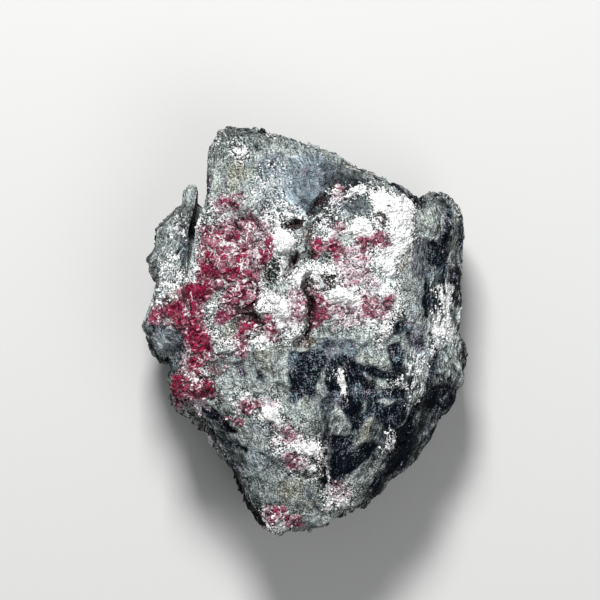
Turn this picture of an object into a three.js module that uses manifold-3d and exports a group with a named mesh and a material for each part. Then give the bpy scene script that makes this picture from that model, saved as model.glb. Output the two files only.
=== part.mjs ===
// A hand specimen of cinnabar in schist, lying on its cleavage face.
// Millimetres, +Z up. The origin is the centre of the specimen's outline, on the surface that it rests on.
// The block is layered like a book: the layers lie flat, so their edges run round the walls.
// Crusts of red cinnabar and of white quartz have grown on the upper face, each one a solid of its own.
import * as THREE from "three";
import { mergeVertices } from "three/addons/utils/BufferGeometryUtils.js";
import Module from "manifold-3d";

const wasm = await Module();
wasm.setup();

// ---------- driving dimensions ----------

const WAIST = 17; // height at which the block is widest
const RIM = 37; // height at which the walls meet the upper face
const CEILING = 46; // above every part of the block
const FLOOR = -4; // below every part of the block
const CRUST_GAP = 0.3; // clearance between a crust and the schist under it
const EDGE_WEAR = 1.1; // how far the broken edges are rounded
const FACE_WEAR = 0.7; // how softly one facet of the upper face turns into the next

// The widest outline, seen from above, anticlockwise from the lowest tip: [x, y].
const OUTLINE = [
  [-4.8, -40], [-3.6, -39.5], [-2.9, -38.9], [-1.8, -39.3], [-0.5, -38.9], [1.6, -38.7], [3.6, -38.2],
  [4.8, -37.3], [6, -36.1], [8, -35.2], [10.6, -34.5], [12.4, -33.6], [15.2, -31.8], [17, -29.5],
  [19.6, -28.1], [21.2, -26.8], [22.8, -25.2], [25, -21.6], [26.6, -18.1], [27.2, -16.8], [28.8, -16],
  [30, -14.2], [30.8, -11.6], [31.6, -10.2], [32, -8.8], [32, -5.6], [31.5, -2.8], [30.9, -0.8],
  [31.2, 3], [31, 9], [31.2, 13.6], [31.8, 17.6], [32, 19.8], [31.5, 22.4], [30.7, 24.6], [29.6, 25.8],
  [28.4, 27.2], [27, 27.4], [25.2, 27], [23.8, 25.7], [22, 26.4], [20, 27.5], [16, 29.4], [12, 31],
  [8, 33], [4, 35.2], [0, 36.3], [-3.5, 38], [-9, 39.1], [-13, 39.4], [-14.8, 40], [-16.2, 39.3],
  [-17.4, 37.2], [-18.4, 34.7], [-19.1, 31.8], [-18.8, 28.4], [-19.3, 25.2], [-20.4, 24.6], [-20.6, 26.6],
  [-21.2, 28.2], [-22.4, 28.5], [-23.3, 27.8], [-23.7, 24.6], [-25.2, 24], [-26.8, 22.1], [-29.1, 20],
  [-29, 16.4], [-30.4, 14.4], [-29.8, 12.4], [-28.5, 10.4], [-28.9, 8.4], [-30.1, 5], [-31.4, 2.4],
  [-32, 0.8], [-31, -1.8], [-29.8, -4.4], [-28, -6.2], [-26.8, -5.4], [-26, -7], [-26.2, -10],
  [-26, -13.4], [-25, -15.8], [-23, -17], [-20.8, -18.4], [-19, -20.2], [-17.6, -23], [-15, -26.1],
  [-12.4, -30.6], [-11.4, -33.4], [-9.8, -36.5], [-7.8, -38.8], [-6.4, -39.7],
];

// How far the edge of the upper face is set in from the outline, by direction: [degrees from +X, inset].
const UPPER_INSET = [
  [0, 11], [22, 10.4], [36, 8], [43, 5], [48, 1.4], [60, 0.7], [90, 0.6], [110, 1], [120, 0.9],
  [128, 0.5], [145, 1], [165, 1.6], [178, 3], [188, 5.4], [197, 2], [206, 1.4], [214, 2.2], [221, 4.2],
  [234, 4.6], [248, 2.8], [262, 1.6], [278, 0.9], [290, 1.8], [303, 4.4], [320, 5.8], [336, 8.4], [350, 10],
];

// The same for the edge of the resting face.
const LOWER_INSET = [
  [0, 6], [40, 7.5], [75, 5], [110, 6.5], [135, 8], [165, 6], [195, 7], [230, 5], [265, 8.5], [300, 6],
  [335, 7],
];

// Facets of the upper face: each is a plane through the point at, with its rise per millimetre in x and in y.
const FACETS = {
  crown: { at: [-4, 6, 40], rise: [0, 0.02] },
  upperLeft: { at: [-8, 30, 38.4], rise: [0.05, -0.15] },
  upperRight: { at: [12, 22, 38.9], rise: [-0.2, -0.09] },
  rightBevel: { at: [21, 10, 36], rise: [-0.82, 0] },
  slateFace: { at: [10, -12, 37.2], rise: [-0.22, 0.15] },
  slateBevel: { at: [21, -12, 34], rise: [-0.85, 0.3] },
  tip: { at: [-3, -24, 36.8], rise: [0.02, 0.28] },
  lowerLeft: { at: [-14, -16, 36.4], rise: [0.4, 0.22] },
  left: { at: [-22, 6, 36.4], rise: [0.42, 0] },
};

// Swellings (+) and hollows (-) of the upper face: [x, y, half length, half width, turn in degrees, height].
const RELIEF = {
  vug: [-10.4, 1.9, 3.4, 2.1, 10, -3.6],
  quartzShoulder: [-5.2, 5.2, 5.8, 3.6, 75, 1.7],
  quartzLens: [-4, 17.7, 3.4, 3, 0, 1.1],
  underVug: [-8.6, -3, 3.6, 3, 0, 1.2],
  oliveKnob: [-16, -1.2, 4.4, 3.4, 80, 1.1],
  mainCrust: [-14, 15, 9, 6, 75, 0.9],
  upperPit: [-1.6, 21.2, 1.8, 1, 0, -2],
  saddle: [-0.6, 13.4, 5, 3.6, 60, -1],
  rightMass: [16.5, 21, 8, 5, 70, 0.9],
  lowerKnob: [-6.9, -16.2, 2.6, 2.3, 0, 1.1],
  lowerMass: [1, -23, 3.8, 2.2, -10, 0.9],
  lowerHollow: [-3, -27.6, 5.6, 2.4, -15, -1.1],
  tipKnob: [-4.6, -37.4, 2.6, 2, 0, 0.8],
  rightShoulder: [24, 21.4, 3.4, 4.4, 0, 1.3],
  leftShoulder: [-27.4, 7, 4, 2.6, 70, 0.9],
};

// Crevices of the upper face: points [x, y], half width and depth.
const CREVICES = {
  centre: {
    path: [[0.6, 10.6], [0.9, 7], [1.6, 4.4], [1.2, 1.8], [0.8, -0.6], [-1.6, -2.6]],
    half: 1.5,
    depth: 3.4,
  },
  upper: { path: [[0.2, 20.6], [-1.2, 16], [-2.4, 13], [-3.6, 11]], half: 0.9, depth: 1.4 },
  diagonal: { path: [[1.2, 23.4], [2.6, 25.2], [4.6, 26.6]], half: 0.8, depth: 1.5 },
  redEdge: { path: [[-17, 23], [-16.7, 20], [-17, 17.6]], half: 0.7, depth: 1.1 },
  lowerLeft: { path: [[-20.4, -13.6], [-16.8, -16.4], [-14, -19.6], [-11.4, -23.4]], half: 0.9, depth: 1.3 },
};

// The split between the block and the leaf of schist on its left: [x, y, half width], from mouth to root.
const SPLIT = [
  [-19.9, 30, 1.1], [-20, 27, 1], [-20.6, 24.4, 0.95], [-21.4, 22.4, 0.75], [-22, 20, 0.75], [-22.1, 17, 0.5],
  [-22.5, 14.4, 0.3],
];
const SPLIT_MOUTH = { y: 28, floor: 7 }; // at its mouth the split goes down nearly to the resting face
const SPLIT_ROOT = { y: 13, floor: 31 };
const LEAF_DROP = 8.5; // how far the leaf's top lies below the block's, at the mouth of the split
const LEAF_ROOT_Y = 7; // the leaf and the block are one below this

// Layer edges on the walls: each set has a spacing in height, a depth and a slow drift round the block.
const LEDGES = [
  { spacing: 8.2, depth: 1.7, drift: [0.035, 0.02], phase: 0.35 },
  { spacing: 4.6, depth: 0.7, drift: [-0.04, 0.05], phase: 1.1 },
];

// ---------- the shape of the schist block ----------

const clamp = (v, low, high) => Math.min(high, Math.max(low, v));
const smoothstep = (low, high, v) => {
  const t = clamp((v - low) / (high - low), 0, 1);
  return t * t * (3 - 2 * t);
};
const softMax = (a, b, width) => (a + b + Math.hypot(a - b, width)) / 2;
const softMin = (a, b, width) => -softMax(-a, -b, width);

// Distance from (x, y) to the segment a-b, and how far along it the nearest point is, from 0 to 1.
function toSegment(x, y, a, b) {
  const [dx, dy] = [b[0] - a[0], b[1] - a[1]];
  const along = clamp(((x - a[0]) * dx + (y - a[1]) * dy) / (dx * dx + dy * dy), 0, 1);
  return { distance: Math.hypot(x - a[0] - along * dx, y - a[1] - along * dy), along };
}

// Signed distance to a closed outline, negative inside.
function toOutline(x, y, outline) {
  let nearest = Infinity;
  let inside = false;
  outline.forEach((a, i) => {
    const b = outline[(i + 1) % outline.length];
    nearest = Math.min(nearest, toSegment(x, y, a, b).distance);
    if (a[1] > y !== b[1] > y && x < a[0] + ((y - a[1]) * (b[0] - a[0])) / (b[1] - a[1])) inside = !inside;
  });
  return inside ? -nearest : nearest;
}

// Distance to an open path.
function toPath(x, y, path) {
  const distances = path.slice(1).map((b, i) => toSegment(x, y, path[i], b).distance);
  return Math.min(...distances);
}

// A value given at a few directions, read at any direction.
function byDirection(table, x, y) {
  const turn = ((Math.atan2(y, x) * 180) / Math.PI + 360) % 360;
  const next = table.findIndex(([angle]) => angle > turn);
  const [a0, v0] = next < 0 ? table[table.length - 1] : table[next - 1];
  const [a1, v1] = next < 0 ? [table[0][0] + 360, table[0][1]] : table[next];
  return v0 + ((v1 - v0) * (turn - a0)) / (a1 - a0);
}

// Where the split's centre line lies at a given y, for telling the leaf from the block.
function splitX(y) {
  const next = SPLIT.findIndex((p) => p[1] <= y);
  if (next < 0) return SPLIT[SPLIT.length - 1][0];
  if (next === 0) return SPLIT[0][0];
  const [a, b] = [SPLIT[next - 1], SPLIT[next]];
  return a[0] + ((b[0] - a[0]) * (y - a[1])) / (b[1] - a[1]);
}

function swelling(x, y, [cx, cy, halfLength, halfWidth, turn, height]) {
  const t = THREE.MathUtils.degToRad(turn);
  const along = ((x - cx) * Math.cos(t) + (y - cy) * Math.sin(t)) / halfLength;
  const across = (-(x - cx) * Math.sin(t) + (y - cy) * Math.cos(t)) / halfWidth;
  return height * Math.max(0, 1 - along * along - across * across) ** 2;
}

// Height of the upper face.
function upperFace(x, y) {
  const planes = Object.values(FACETS).map(
    ({ at, rise }) => at[2] + (x - at[0]) * rise[0] + (y - at[1]) * rise[1],
  );
  let z = planes.reduce((a, b) => softMin(a, b, FACE_WEAR));
  for (const bump of Object.values(RELIEF)) z += swelling(x, y, bump);
  for (const { path, half, depth } of Object.values(CREVICES)) {
    z -= depth * (1 - smoothstep(0, half, toPath(x, y, path)));
  }
  const leftOfSplit = 1 - smoothstep(-0.8, 0.4, x - splitX(y));
  return z - LEAF_DROP * leftOfSplit * smoothstep(LEAF_ROOT_Y, SPLIT_MOUTH.y, y) ** 0.8;
}

// Relief of the layer edges, a drifting saw-tooth in height.
function ledges(x, y, z) {
  return LEDGES.reduce((sum, { spacing, depth, drift, phase }) => {
    const sway = 0.35 * Math.sin(0.21 * x - 0.17 * y + phase);
    const level = z / spacing + phase + drift[0] * x + drift[1] * y + sway;
    return sum + depth * (level - Math.floor(level) - 0.5);
  }, 0);
}

// Below zero inside the block, above zero outside, and roughly a distance in between.
function field(x, y, z) {
  const up = clamp((z - WAIST) / (RIM - WAIST), 0, 1);
  const down = clamp((WAIST - z) / WAIST, 0, 1);
  const inset = byDirection(UPPER_INSET, x, y) * up ** 1.9 + byDirection(LOWER_INSET, x, y) * down ** 1.7;
  const wallShare = clamp(Math.min(up * 4, 1) + Math.min(down * 2, 1), 0, 1);
  const wall = toOutline(x, y, OUTLINE) + inset + ledges(x, y, z) * wallShare;
  const solid = Math.max(softMax(wall, z - upperFace(x, y), EDGE_WEAR), -z);
  const split = SPLIT.slice(1).reduce((most, b, i) => {
    const { distance, along } = toSegment(x, y, SPLIT[i], b);
    return Math.max(most, SPLIT[i][2] + (b[2] - SPLIT[i][2]) * along - distance);
  }, -Infinity);
  const deep = clamp((y - SPLIT_ROOT.y) / (SPLIT_MOUTH.y - SPLIT_ROOT.y), 0, 1);
  const splitFloor = SPLIT_ROOT.floor + (SPLIT_MOUTH.floor - SPLIT_ROOT.floor) * deep;
  return Math.max(solid, Math.min(split, (z - splitFloor) / 2));
}

// ---------- from shape to mesh ----------

const FACE_CELLS = 26; // cells across the upper and the resting face
const WALL_ROWS = 16; // rows of cells up the walls
const MARCH_STEPS = 70;
const BISECTIONS = 14;
const INNER_SHARE = 0.66; // the rays start this share of the way from the axis to the outline

// Furthest crossing of the outline in a direction from the axis.
function outlineRadius(angle) {
  const [cx, cy] = [Math.cos(angle), Math.sin(angle)];
  return OUTLINE.reduce((most, a, i) => {
    const b = OUTLINE[(i + 1) % OUTLINE.length];
    const [ex, ey] = [b[0] - a[0], b[1] - a[1]];
    const cross = cx * ey - cy * ex;
    const reach = (a[0] * ey - a[1] * ex) / cross;
    const along = (a[0] * cy - a[1] * cx) / cross;
    return along >= 0 && along <= 1 && reach > most ? reach : most;
  }, 0);
}

const SPREAD = 5; // directions averaged on each side, one degree apart
const radii = Array.from({ length: 360 }, (_, degree) => {
  let sum = 0;
  for (let k = -SPREAD; k <= SPREAD; k++) sum += outlineRadius(THREE.MathUtils.degToRad(degree + k + 0.01));
  return sum / (2 * SPREAD + 1);
});
function smoothRadius(angle) {
  const degree = (THREE.MathUtils.radToDeg(angle) + 360) % 360;
  const low = Math.floor(degree);
  return THREE.MathUtils.lerp(radii[low % 360], radii[(low + 1) % 360], degree - low);
}

// The outermost point of the block between an outer and an inner point, at a level of the field.
function firstHit(outer, inner, level) {
  const p = new THREE.Vector3();
  const at = (t) => field(...p.lerpVectors(outer, inner, t).toArray()) - level;
  let near = 0;
  let far = 1;
  for (let k = 1; k <= MARCH_STEPS; k++) {
    far = k / MARCH_STEPS;
    if (at(far) < 0) break;
    near = far;
  }
  for (let k = 0; k < BISECTIONS; k++) {
    const middle = (near + far) / 2;
    if (at(middle) < 0) far = middle;
    else near = middle;
  }
  at(far);
  if (Math.abs(p.z + level) < 0.02) p.z = -level; // the resting face is exactly flat
  return p.clone();
}

// The rays' places: u and v run from -1 to 1 across a face, and side is +1 above and -1 below.
function faceRay(u, v, side) {
  const [dx, dy] = [u * Math.sqrt(1 - (v * v) / 2), v * Math.sqrt(1 - (u * u) / 2)];
  const share = Math.hypot(dx, dy);
  const angle = Math.atan2(dy, dx);
  return wallRay(angle, side, share);
}
function wallRay(angle, height, share = 1) {
  const radius = smoothRadius(angle) * share;
  const direction = new THREE.Vector3(Math.cos(angle), Math.sin(angle), 0);
  const reach = height > 0 ? CEILING - WAIST : WAIST - FLOOR;
  const outer = direction.clone().multiplyScalar(radius * 1.07).setZ(WAIST + reach * height);
  const inner = direction.clone().multiplyScalar(radius * INNER_SHARE).setZ(WAIST + 5 * height);
  return { outer, inner };
}

// The block as a closed mesh: an upper face, a resting face and walls between them, all on one grid.
function blockAt(level) {
  const positions = [];
  const triangles = [];
  const n = FACE_CELLS;
  const put = ({ outer, inner }) => positions.push(firstHit(outer, inner, level)) - 1;
  const face = (side) =>
    Array.from({ length: n + 1 }, (_, j) =>
      Array.from({ length: n + 1 }, (_, i) => put(faceRay((2 * i) / n - 1, (2 * j) / n - 1, side))),
    );
  const [upper, lower] = [face(1), face(-1)];
  const border = []; // grid places round the edge of a face, anticlockwise from above
  for (let i = 0; i < n; i++) border.push([i, 0]);
  for (let j = 0; j < n; j++) border.push([n, j]);
  for (let i = n; i > 0; i--) border.push([i, n]);
  for (let j = n; j > 0; j--) border.push([0, j]);
  const rings = [border.map(([i, j]) => upper[j][i])];
  for (let row = 1; row < WALL_ROWS; row++) {
    const height = 1 - (2 * row) / WALL_ROWS;
    rings.push(
      border.map(([i, j]) => {
        const [u, v] = [(2 * i) / n - 1, (2 * j) / n - 1];
        const turn = Math.atan2(v * Math.sqrt(1 - (u * u) / 2), u * Math.sqrt(1 - (v * v) / 2));
        return put(wallRay(turn, height));
      }),
    );
  }
  rings.push(border.map(([i, j]) => lower[j][i]));

  // Each cell is cut along its shorter diagonal.
  const quad = (a, b, c, d) => {
    const [pa, pb, pc, pd] = [a, b, c, d].map((k) => positions[k]);
    if (pa.distanceTo(pc) < pb.distanceTo(pd)) triangles.push(a, b, c, a, c, d);
    else triangles.push(a, b, d, b, c, d);
  };
  for (let j = 0; j < n; j++) {
    for (let i = 0; i < n; i++) {
      quad(upper[j][i], upper[j][i + 1], upper[j + 1][i + 1], upper[j + 1][i]);
      quad(lower[j][i], lower[j + 1][i], lower[j + 1][i + 1], lower[j][i + 1]);
    }
  }
  for (let row = 0; row < WALL_ROWS; row++) {
    const [above, below] = [rings[row], rings[row + 1]];
    above.forEach((_, k) => {
      const next = (k + 1) % above.length;
      quad(above[k], below[k], below[next], above[next]);
    });
  }
  return new THREE.BufferGeometry()
    .setAttribute("position", new THREE.Float32BufferAttribute(positions.flatMap((p) => p.toArray()), 3))
    .setIndex(triangles);
}

function toSolid(geometry) {
  const bare = geometry.clone();
  bare.deleteAttribute("normal");
  bare.deleteAttribute("uv");
  const merged = mergeVertices(bare, 1e-4);
  return new wasm.Manifold(
    new wasm.Mesh({
      numProp: 3,
      vertProperties: merged.attributes.position.array,
      triVerts: new Uint32Array(merged.index.array),
    }),
  );
}

function toGeometry(solid) {
  const { vertProperties, triVerts } = solid.getMesh();
  return new THREE.BufferGeometry()
    .setAttribute("position", new THREE.Float32BufferAttribute(Array.from(vertProperties), 3))
    .setIndex(Array.from(triVerts));
}

// ---------- crusts ----------

const CRUST_FOOT = 21; // the crusts' blanks go down to this height before the block is cut out of them
// Rings of a crust's top: [share of the outline, share of the thickness].
const DOME = [[1, 0.4], [0.74, 0.85], [0.36, 1.05]];
const DOME_CENTRE = 1.1;

const grown = new Map(); // the block grown by a few distances, each made once
function grownBlock(by) {
  if (!grown.has(by)) grown.set(by, toSolid(blockAt(by)));
  return grown.get(by);
}

// Height of the block's surface seen from above, taken from its highest sight line that meets it.
function surfaceHeight(x, y) {
  return firstHit(new THREE.Vector3(x, y, CEILING), new THREE.Vector3(x, y, CRUST_FOOT), 0).z;
}

// A crust's blank: the outline carried up to a dome that follows the block's surface.
function crustBlank(points, thickness) {
  const clockwise = THREE.ShapeUtils.isClockWise(points.map(([x, y]) => new THREE.Vector2(x, y)));
  const outline = clockwise ? points.toReversed() : points;
  const [cx, cy] = outline.reduce(
    ([sx, sy], [x, y]) => [sx + x / outline.length, sy + y / outline.length],
    [0, 0],
  );
  const positions = [];
  const triangles = [];
  const put = (x, y, z) => positions.push(x, y, z) / 3 - 1;
  const rings = DOME.map(([share, rise]) =>
    outline.map(([x, y]) => {
      const [px, py] = [cx + (x - cx) * share, cy + (y - cy) * share];
      return put(px, py, surfaceHeight(px, py) + CRUST_GAP + thickness * rise);
    }),
  );
  rings.unshift(outline.map(([x, y]) => put(x, y, CRUST_FOOT)));
  const peak = put(cx, cy, surfaceHeight(cx, cy) + CRUST_GAP + thickness * DOME_CENTRE);
  const foot = put(cx, cy, CRUST_FOOT);
  outline.forEach((_, k) => {
    const next = (k + 1) % outline.length;
    for (let r = 1; r < rings.length; r++) {
      const [below, above] = [rings[r - 1], rings[r]];
      triangles.push(below[k], below[next], above[next], below[k], above[next], above[k]);
    }
    triangles.push(rings.at(-1)[k], rings.at(-1)[next], peak, rings[0][next], rings[0][k], foot);
  });
  return new THREE.BufferGeometry()
    .setAttribute("position", new THREE.Float32BufferAttribute(positions, 3))
    .setIndex(triangles);
}

// What is left of a blank above the block, as one solid.
function clearOfBlock(solid) {
  const pieces = solid.subtract(grownBlock(CRUST_GAP)).decompose();
  pieces.sort((a, b) => b.volume() - a.volume());
  return toGeometry(pieces[0].simplify(0.02));
}

// Rhombohedral crystals grown into one another: each is a cube stretched along its diagonal, which is the
// crystal's long axis. A crystal is [x, y, edge, stretch, lean, direction of the lean, spin], with its
// angles in degrees.
function crystalGroup(crystals) {
  const solids = crystals.map(([x, y, edge, stretch, lean, direction, spin]) => {
    const cube = new THREE.BoxGeometry(edge, edge, edge);
    const diagonal = new THREE.Vector3(1, 1, 1).normalize();
    cube.applyQuaternion(new THREE.Quaternion().setFromUnitVectors(diagonal, new THREE.Vector3(0, 0, 1)));
    cube.scale(1, 1, stretch);
    cube.rotateZ(THREE.MathUtils.degToRad(spin));
    cube.rotateY(THREE.MathUtils.degToRad(lean));
    cube.rotateZ(THREE.MathUtils.degToRad(direction));
    cube.translate(x, y, surfaceHeight(x, y) + edge * 0.3);
    return toSolid(cube);
  });
  return solids.reduce((a, b) => a.add(b));
}

const CINNABAR_CRUSTS = {
  cinnabar_main_crust: {
    thickness: 1.1,
    outline: [
      [-15.6, 25.8], [-13, 26], [-11.6, 24.4], [-10, 22], [-8, 20.6], [-7.4, 18.2], [-6.9, 16], [-8, 13.6],
      [-9.8, 12.4], [-10, 8.6], [-11.6, 6], [-15.2, 5.6], [-15.8, 8.8], [-17.6, 10.2], [-20, 11.6],
      [-20.2, 15],
      [-20, 19.4], [-18, 20.8], [-17, 22.8],
    ],
  },
  cinnabar_left_upper_crust: {
    thickness: 0.9,
    outline: [[-23.6, 7.6], [-22.4, 9], [-20.4, 9.6], [-18.7, 9.2], [-18.6, 7], [-20.6, 6], [-22.4, 6.2]],
  },
  cinnabar_left_edge_crust: {
    thickness: 0.9,
    outline: [[-25.6, 6.2], [-24.4, 5], [-24, 2.2], [-25, 0.6], [-26.4, 1.4], [-26.8, 3.4], [-26.6, 5.2]],
  },
  cinnabar_left_seam: {
    thickness: 1,
    outline: [
      [-22, 5.4], [-21, 4.2], [-20.4, 1.6], [-19.2, -1.2], [-19, -3.8], [-20.4, -4.8], [-22.2, -4],
      [-22.8, -1],
      [-22.6, 2.4],
    ],
  },
  cinnabar_left_lower_crust: {
    thickness: 0.8,
    outline: [[-22.6, -5.4], [-21, -5.2], [-20.5, -7], [-21.4, -8.4], [-22.8, -8.2], [-23.2, -6.8]],
  },
  cinnabar_lower_left_cluster: {
    thickness: 1,
    outline: [
      [-25.2, -9], [-24, -8.4], [-22.4, -9.8], [-20, -10], [-18, -9.9], [-17.7, -12.8], [-20, -13.4],
      [-22, -13],
      [-23.8, -12.8], [-25, -12.4], [-25.4, -10.8],
    ],
  },
  cinnabar_vug_streak: {
    thickness: 0.8,
    outline: [[-12.6, -1], [-11.4, -0.8], [-11.3, -3.2], [-12, -4.8], [-12.8, -4]],
  },
  cinnabar_west_grain: {
    thickness: 1.3,
    outline: [[2, 17.9], [3, 17.5], [3.9, 15.8], [3.2, 14.6], [1.6, 14.6], [1.4, 16]],
  },
  cinnabar_east_grain: {
    thickness: 1.4,
    outline: [[4.9, 16.6], [5.6, 17.9], [7, 17.4], [7.2, 16.2], [6.3, 14.9], [5.1, 15.2]],
  },
  cinnabar_upper_right_crust: {
    thickness: 0.9,
    outline: [
      [9.8, 17.5], [12.2, 17.9], [14, 18.5], [15.4, 19], [16, 17], [14, 15], [12.4, 13], [9.8, 12.6],
      [8, 13.6], [8.6, 15.8],
    ],
  },
  cinnabar_lower_right_crust: {
    thickness: 1,
    outline: [[11.9, 5.4], [13.4, 6.4], [17, 6.6], [17.2, 5], [14.6, 3], [11.4, 2.6], [9, 3], [9, 4.4]],
  },
  cinnabar_crevice_west: {
    thickness: 0.9,
    outline: [[-1.7, 7.9], [-0.6, 7.6], [-0.3, 5], [-0.5, 2.6], [-1.6, 2.4], [-2.2, 4.4]],
  },
  cinnabar_crevice_east: {
    thickness: 1,
    outline: [[2.9, 5.8], [3.8, 5.4], [4.6, 3.6], [4.2, 1.8], [3.4, 1.2], [2.9, 2.6]],
  },
  cinnabar_shoulder_grains: {
    thickness: 0.8,
    outline: [[-7.9, 2.2], [-6.8, 2.6], [-5.2, 0.8], [-4.8, -1], [-6, -1.2], [-7.2, 0.4]],
  },
  cinnabar_tip_grains: {
    thickness: 0.7,
    outline: [[-2.8, -36.4], [-1.4, -36.2], [-0.7, -37.2], [-1.6, -37.9], [-2.7, -37.6]],
  },
};

const CINNABAR_CRYSTALS = {
  cinnabar_vug_crystals: [
    [-10.4, 1.5, 2.3, 1.3, 24, 40, 10], [-11.8, 2, 1.8, 1.3, 32, 160, 50],
    [-9.3, 2.6, 1.7, 1.25, 18, 280, 25],
    [-10.9, 3, 1.5, 1.3, 30, 95, 70],
  ],
};

const QUARTZ_CRUSTS = {
  quartz_upper_lens: {
    thickness: 1,
    outline: [
      [-6.4, 19.2], [-5.4, 20], [-3.6, 19.8], [-2.2, 18.8], [-1.8, 17.6], [-2.6, 16], [-4.2, 15.4],
      [-5.8, 16],
      [-6.4, 17.4],
    ],
  },
  quartz_shoulder: {
    thickness: 1.1,
    outline: [
      [-9, 6.6], [-7.4, 8.6], [-4.8, 9.6], [-2.9, 8.4], [-2.7, 5], [-3.2, 2.4], [-4.4, 1.8], [-6.2, 3.2],
      [-8.4, 4.2],
    ],
  },
  quartz_under_vug: {
    thickness: 0.9,
    outline: [[-10.8, -1.6], [-9.4, -0.4], [-7.8, -0.6], [-6.6, -1.8], [-8, -3.2], [-10.4, -3]],
  },
  quartz_right_mass: {
    thickness: 0.9,
    outline: [
      [13, 27.6], [15.2, 27.8], [18.2, 26.2], [20.2, 24.4], [20.8, 21], [20.6, 17], [19, 14.8], [17.6, 13.2],
      [17, 15.2], [17, 19.6], [16, 22.4], [13.8, 24], [13, 25.6],
    ],
  },
  quartz_right_lens: {
    thickness: 0.9,
    outline: [[8, 20.8], [10, 21.4], [13.4, 20.8], [13.6, 19.4], [11.4, 18.7], [9, 19.1]],
  },
  quartz_right_band: {
    thickness: 0.8,
    outline: [[4.8, 7.4], [6, 8.4], [8, 8.6], [10, 8.2], [10.8, 7.2], [10.6, 5.9], [8, 5.1], [6.2, 5.6]],
  },
  quartz_lower_knob: {
    thickness: 1.1,
    outline: [
      [-8.8, -15.6], [-7.4, -14.3], [-6, -14.8], [-4.7, -16.6], [-5.2, -17.8], [-7.8, -18], [-8.8, -16.8],
    ],
  },
  quartz_lower_mass: {
    thickness: 1,
    outline: [
      [-2.4, -22.2], [-0.4, -21.6], [2, -21.7], [3.5, -23.4], [2.8, -24.4], [0.2, -24.6], [-1.8, -23.8],
    ],
  },
  quartz_tip: {
    thickness: 0.8,
    outline: [[-6, -35.6], [-4.4, -35.4], [-3.6, -36.4], [-3.8, -37.8], [-5.2, -38], [-6.2, -37]],
  },
};

// ---------- materials and assembly ----------

const SCHIST_GREY = new THREE.MeshStandardMaterial({ color: 0x737a76, roughness: 0.8, metalness: 0 });
const CINNABAR_RED = new THREE.MeshStandardMaterial({ color: 0x8a1228, roughness: 0.35, metalness: 0 });
const QUARTZ_WHITE = new THREE.MeshStandardMaterial({ color: 0xeceeec, roughness: 0.45, metalness: 0 });

function piece(name, geometry, material) {
  const mesh = new THREE.Mesh(geometry, material);
  mesh.name = name;
  return mesh;
}

const specimen = new THREE.Group();
specimen.add(piece("schist_matrix", blockAt(0), SCHIST_GREY));
for (const [name, { outline, thickness }] of Object.entries(CINNABAR_CRUSTS)) {
  specimen.add(piece(name, clearOfBlock(toSolid(crustBlank(outline, thickness))), CINNABAR_RED));
}
for (const [name, crystals] of Object.entries(CINNABAR_CRYSTALS)) {
  specimen.add(piece(name, clearOfBlock(crystalGroup(crystals)), CINNABAR_RED));
}
for (const [name, { outline, thickness }] of Object.entries(QUARTZ_CRUSTS)) {
  specimen.add(piece(name, clearOfBlock(toSolid(crustBlank(outline, thickness))), QUARTZ_WHITE));
}

export default specimen;
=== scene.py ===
import itertools
import math

import bpy
import numpy as np
from bpy.props import FloatProperty, FloatVectorProperty, IntProperty, PointerProperty
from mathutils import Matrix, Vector


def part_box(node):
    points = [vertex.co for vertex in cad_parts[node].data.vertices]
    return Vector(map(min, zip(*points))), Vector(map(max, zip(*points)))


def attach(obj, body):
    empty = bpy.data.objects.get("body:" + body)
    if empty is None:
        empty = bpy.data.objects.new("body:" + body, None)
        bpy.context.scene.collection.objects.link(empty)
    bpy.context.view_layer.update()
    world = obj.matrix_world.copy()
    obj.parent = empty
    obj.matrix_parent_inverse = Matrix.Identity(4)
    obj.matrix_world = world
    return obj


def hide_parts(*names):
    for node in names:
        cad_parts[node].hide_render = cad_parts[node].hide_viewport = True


bl_info = {
    "name": "Cinnabar Specimen",
    "version": (1, 0, 0),
    "blender": (4, 5, 0),
    "location": "View3D > Sidebar > Specimen",
    "description": "A block of layered schist with crusts of cinnabar and quartz, on a plain floor",
    "category": "Add Mesh",
}

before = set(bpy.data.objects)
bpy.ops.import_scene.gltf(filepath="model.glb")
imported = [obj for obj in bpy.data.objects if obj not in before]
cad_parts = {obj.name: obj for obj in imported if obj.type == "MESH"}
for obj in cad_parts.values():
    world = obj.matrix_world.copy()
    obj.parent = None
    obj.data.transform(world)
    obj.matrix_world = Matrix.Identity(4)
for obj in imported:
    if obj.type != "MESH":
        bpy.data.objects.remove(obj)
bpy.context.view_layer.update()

# Lengths are in millimetres until a mesh is written, which is in metres.
MM = 0.001

# ---------------------------------------------------------------- the block's shape

WAIST = 17.0  # height at which the block is widest
RIM = 37.0  # height at which the walls meet the upper face

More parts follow.
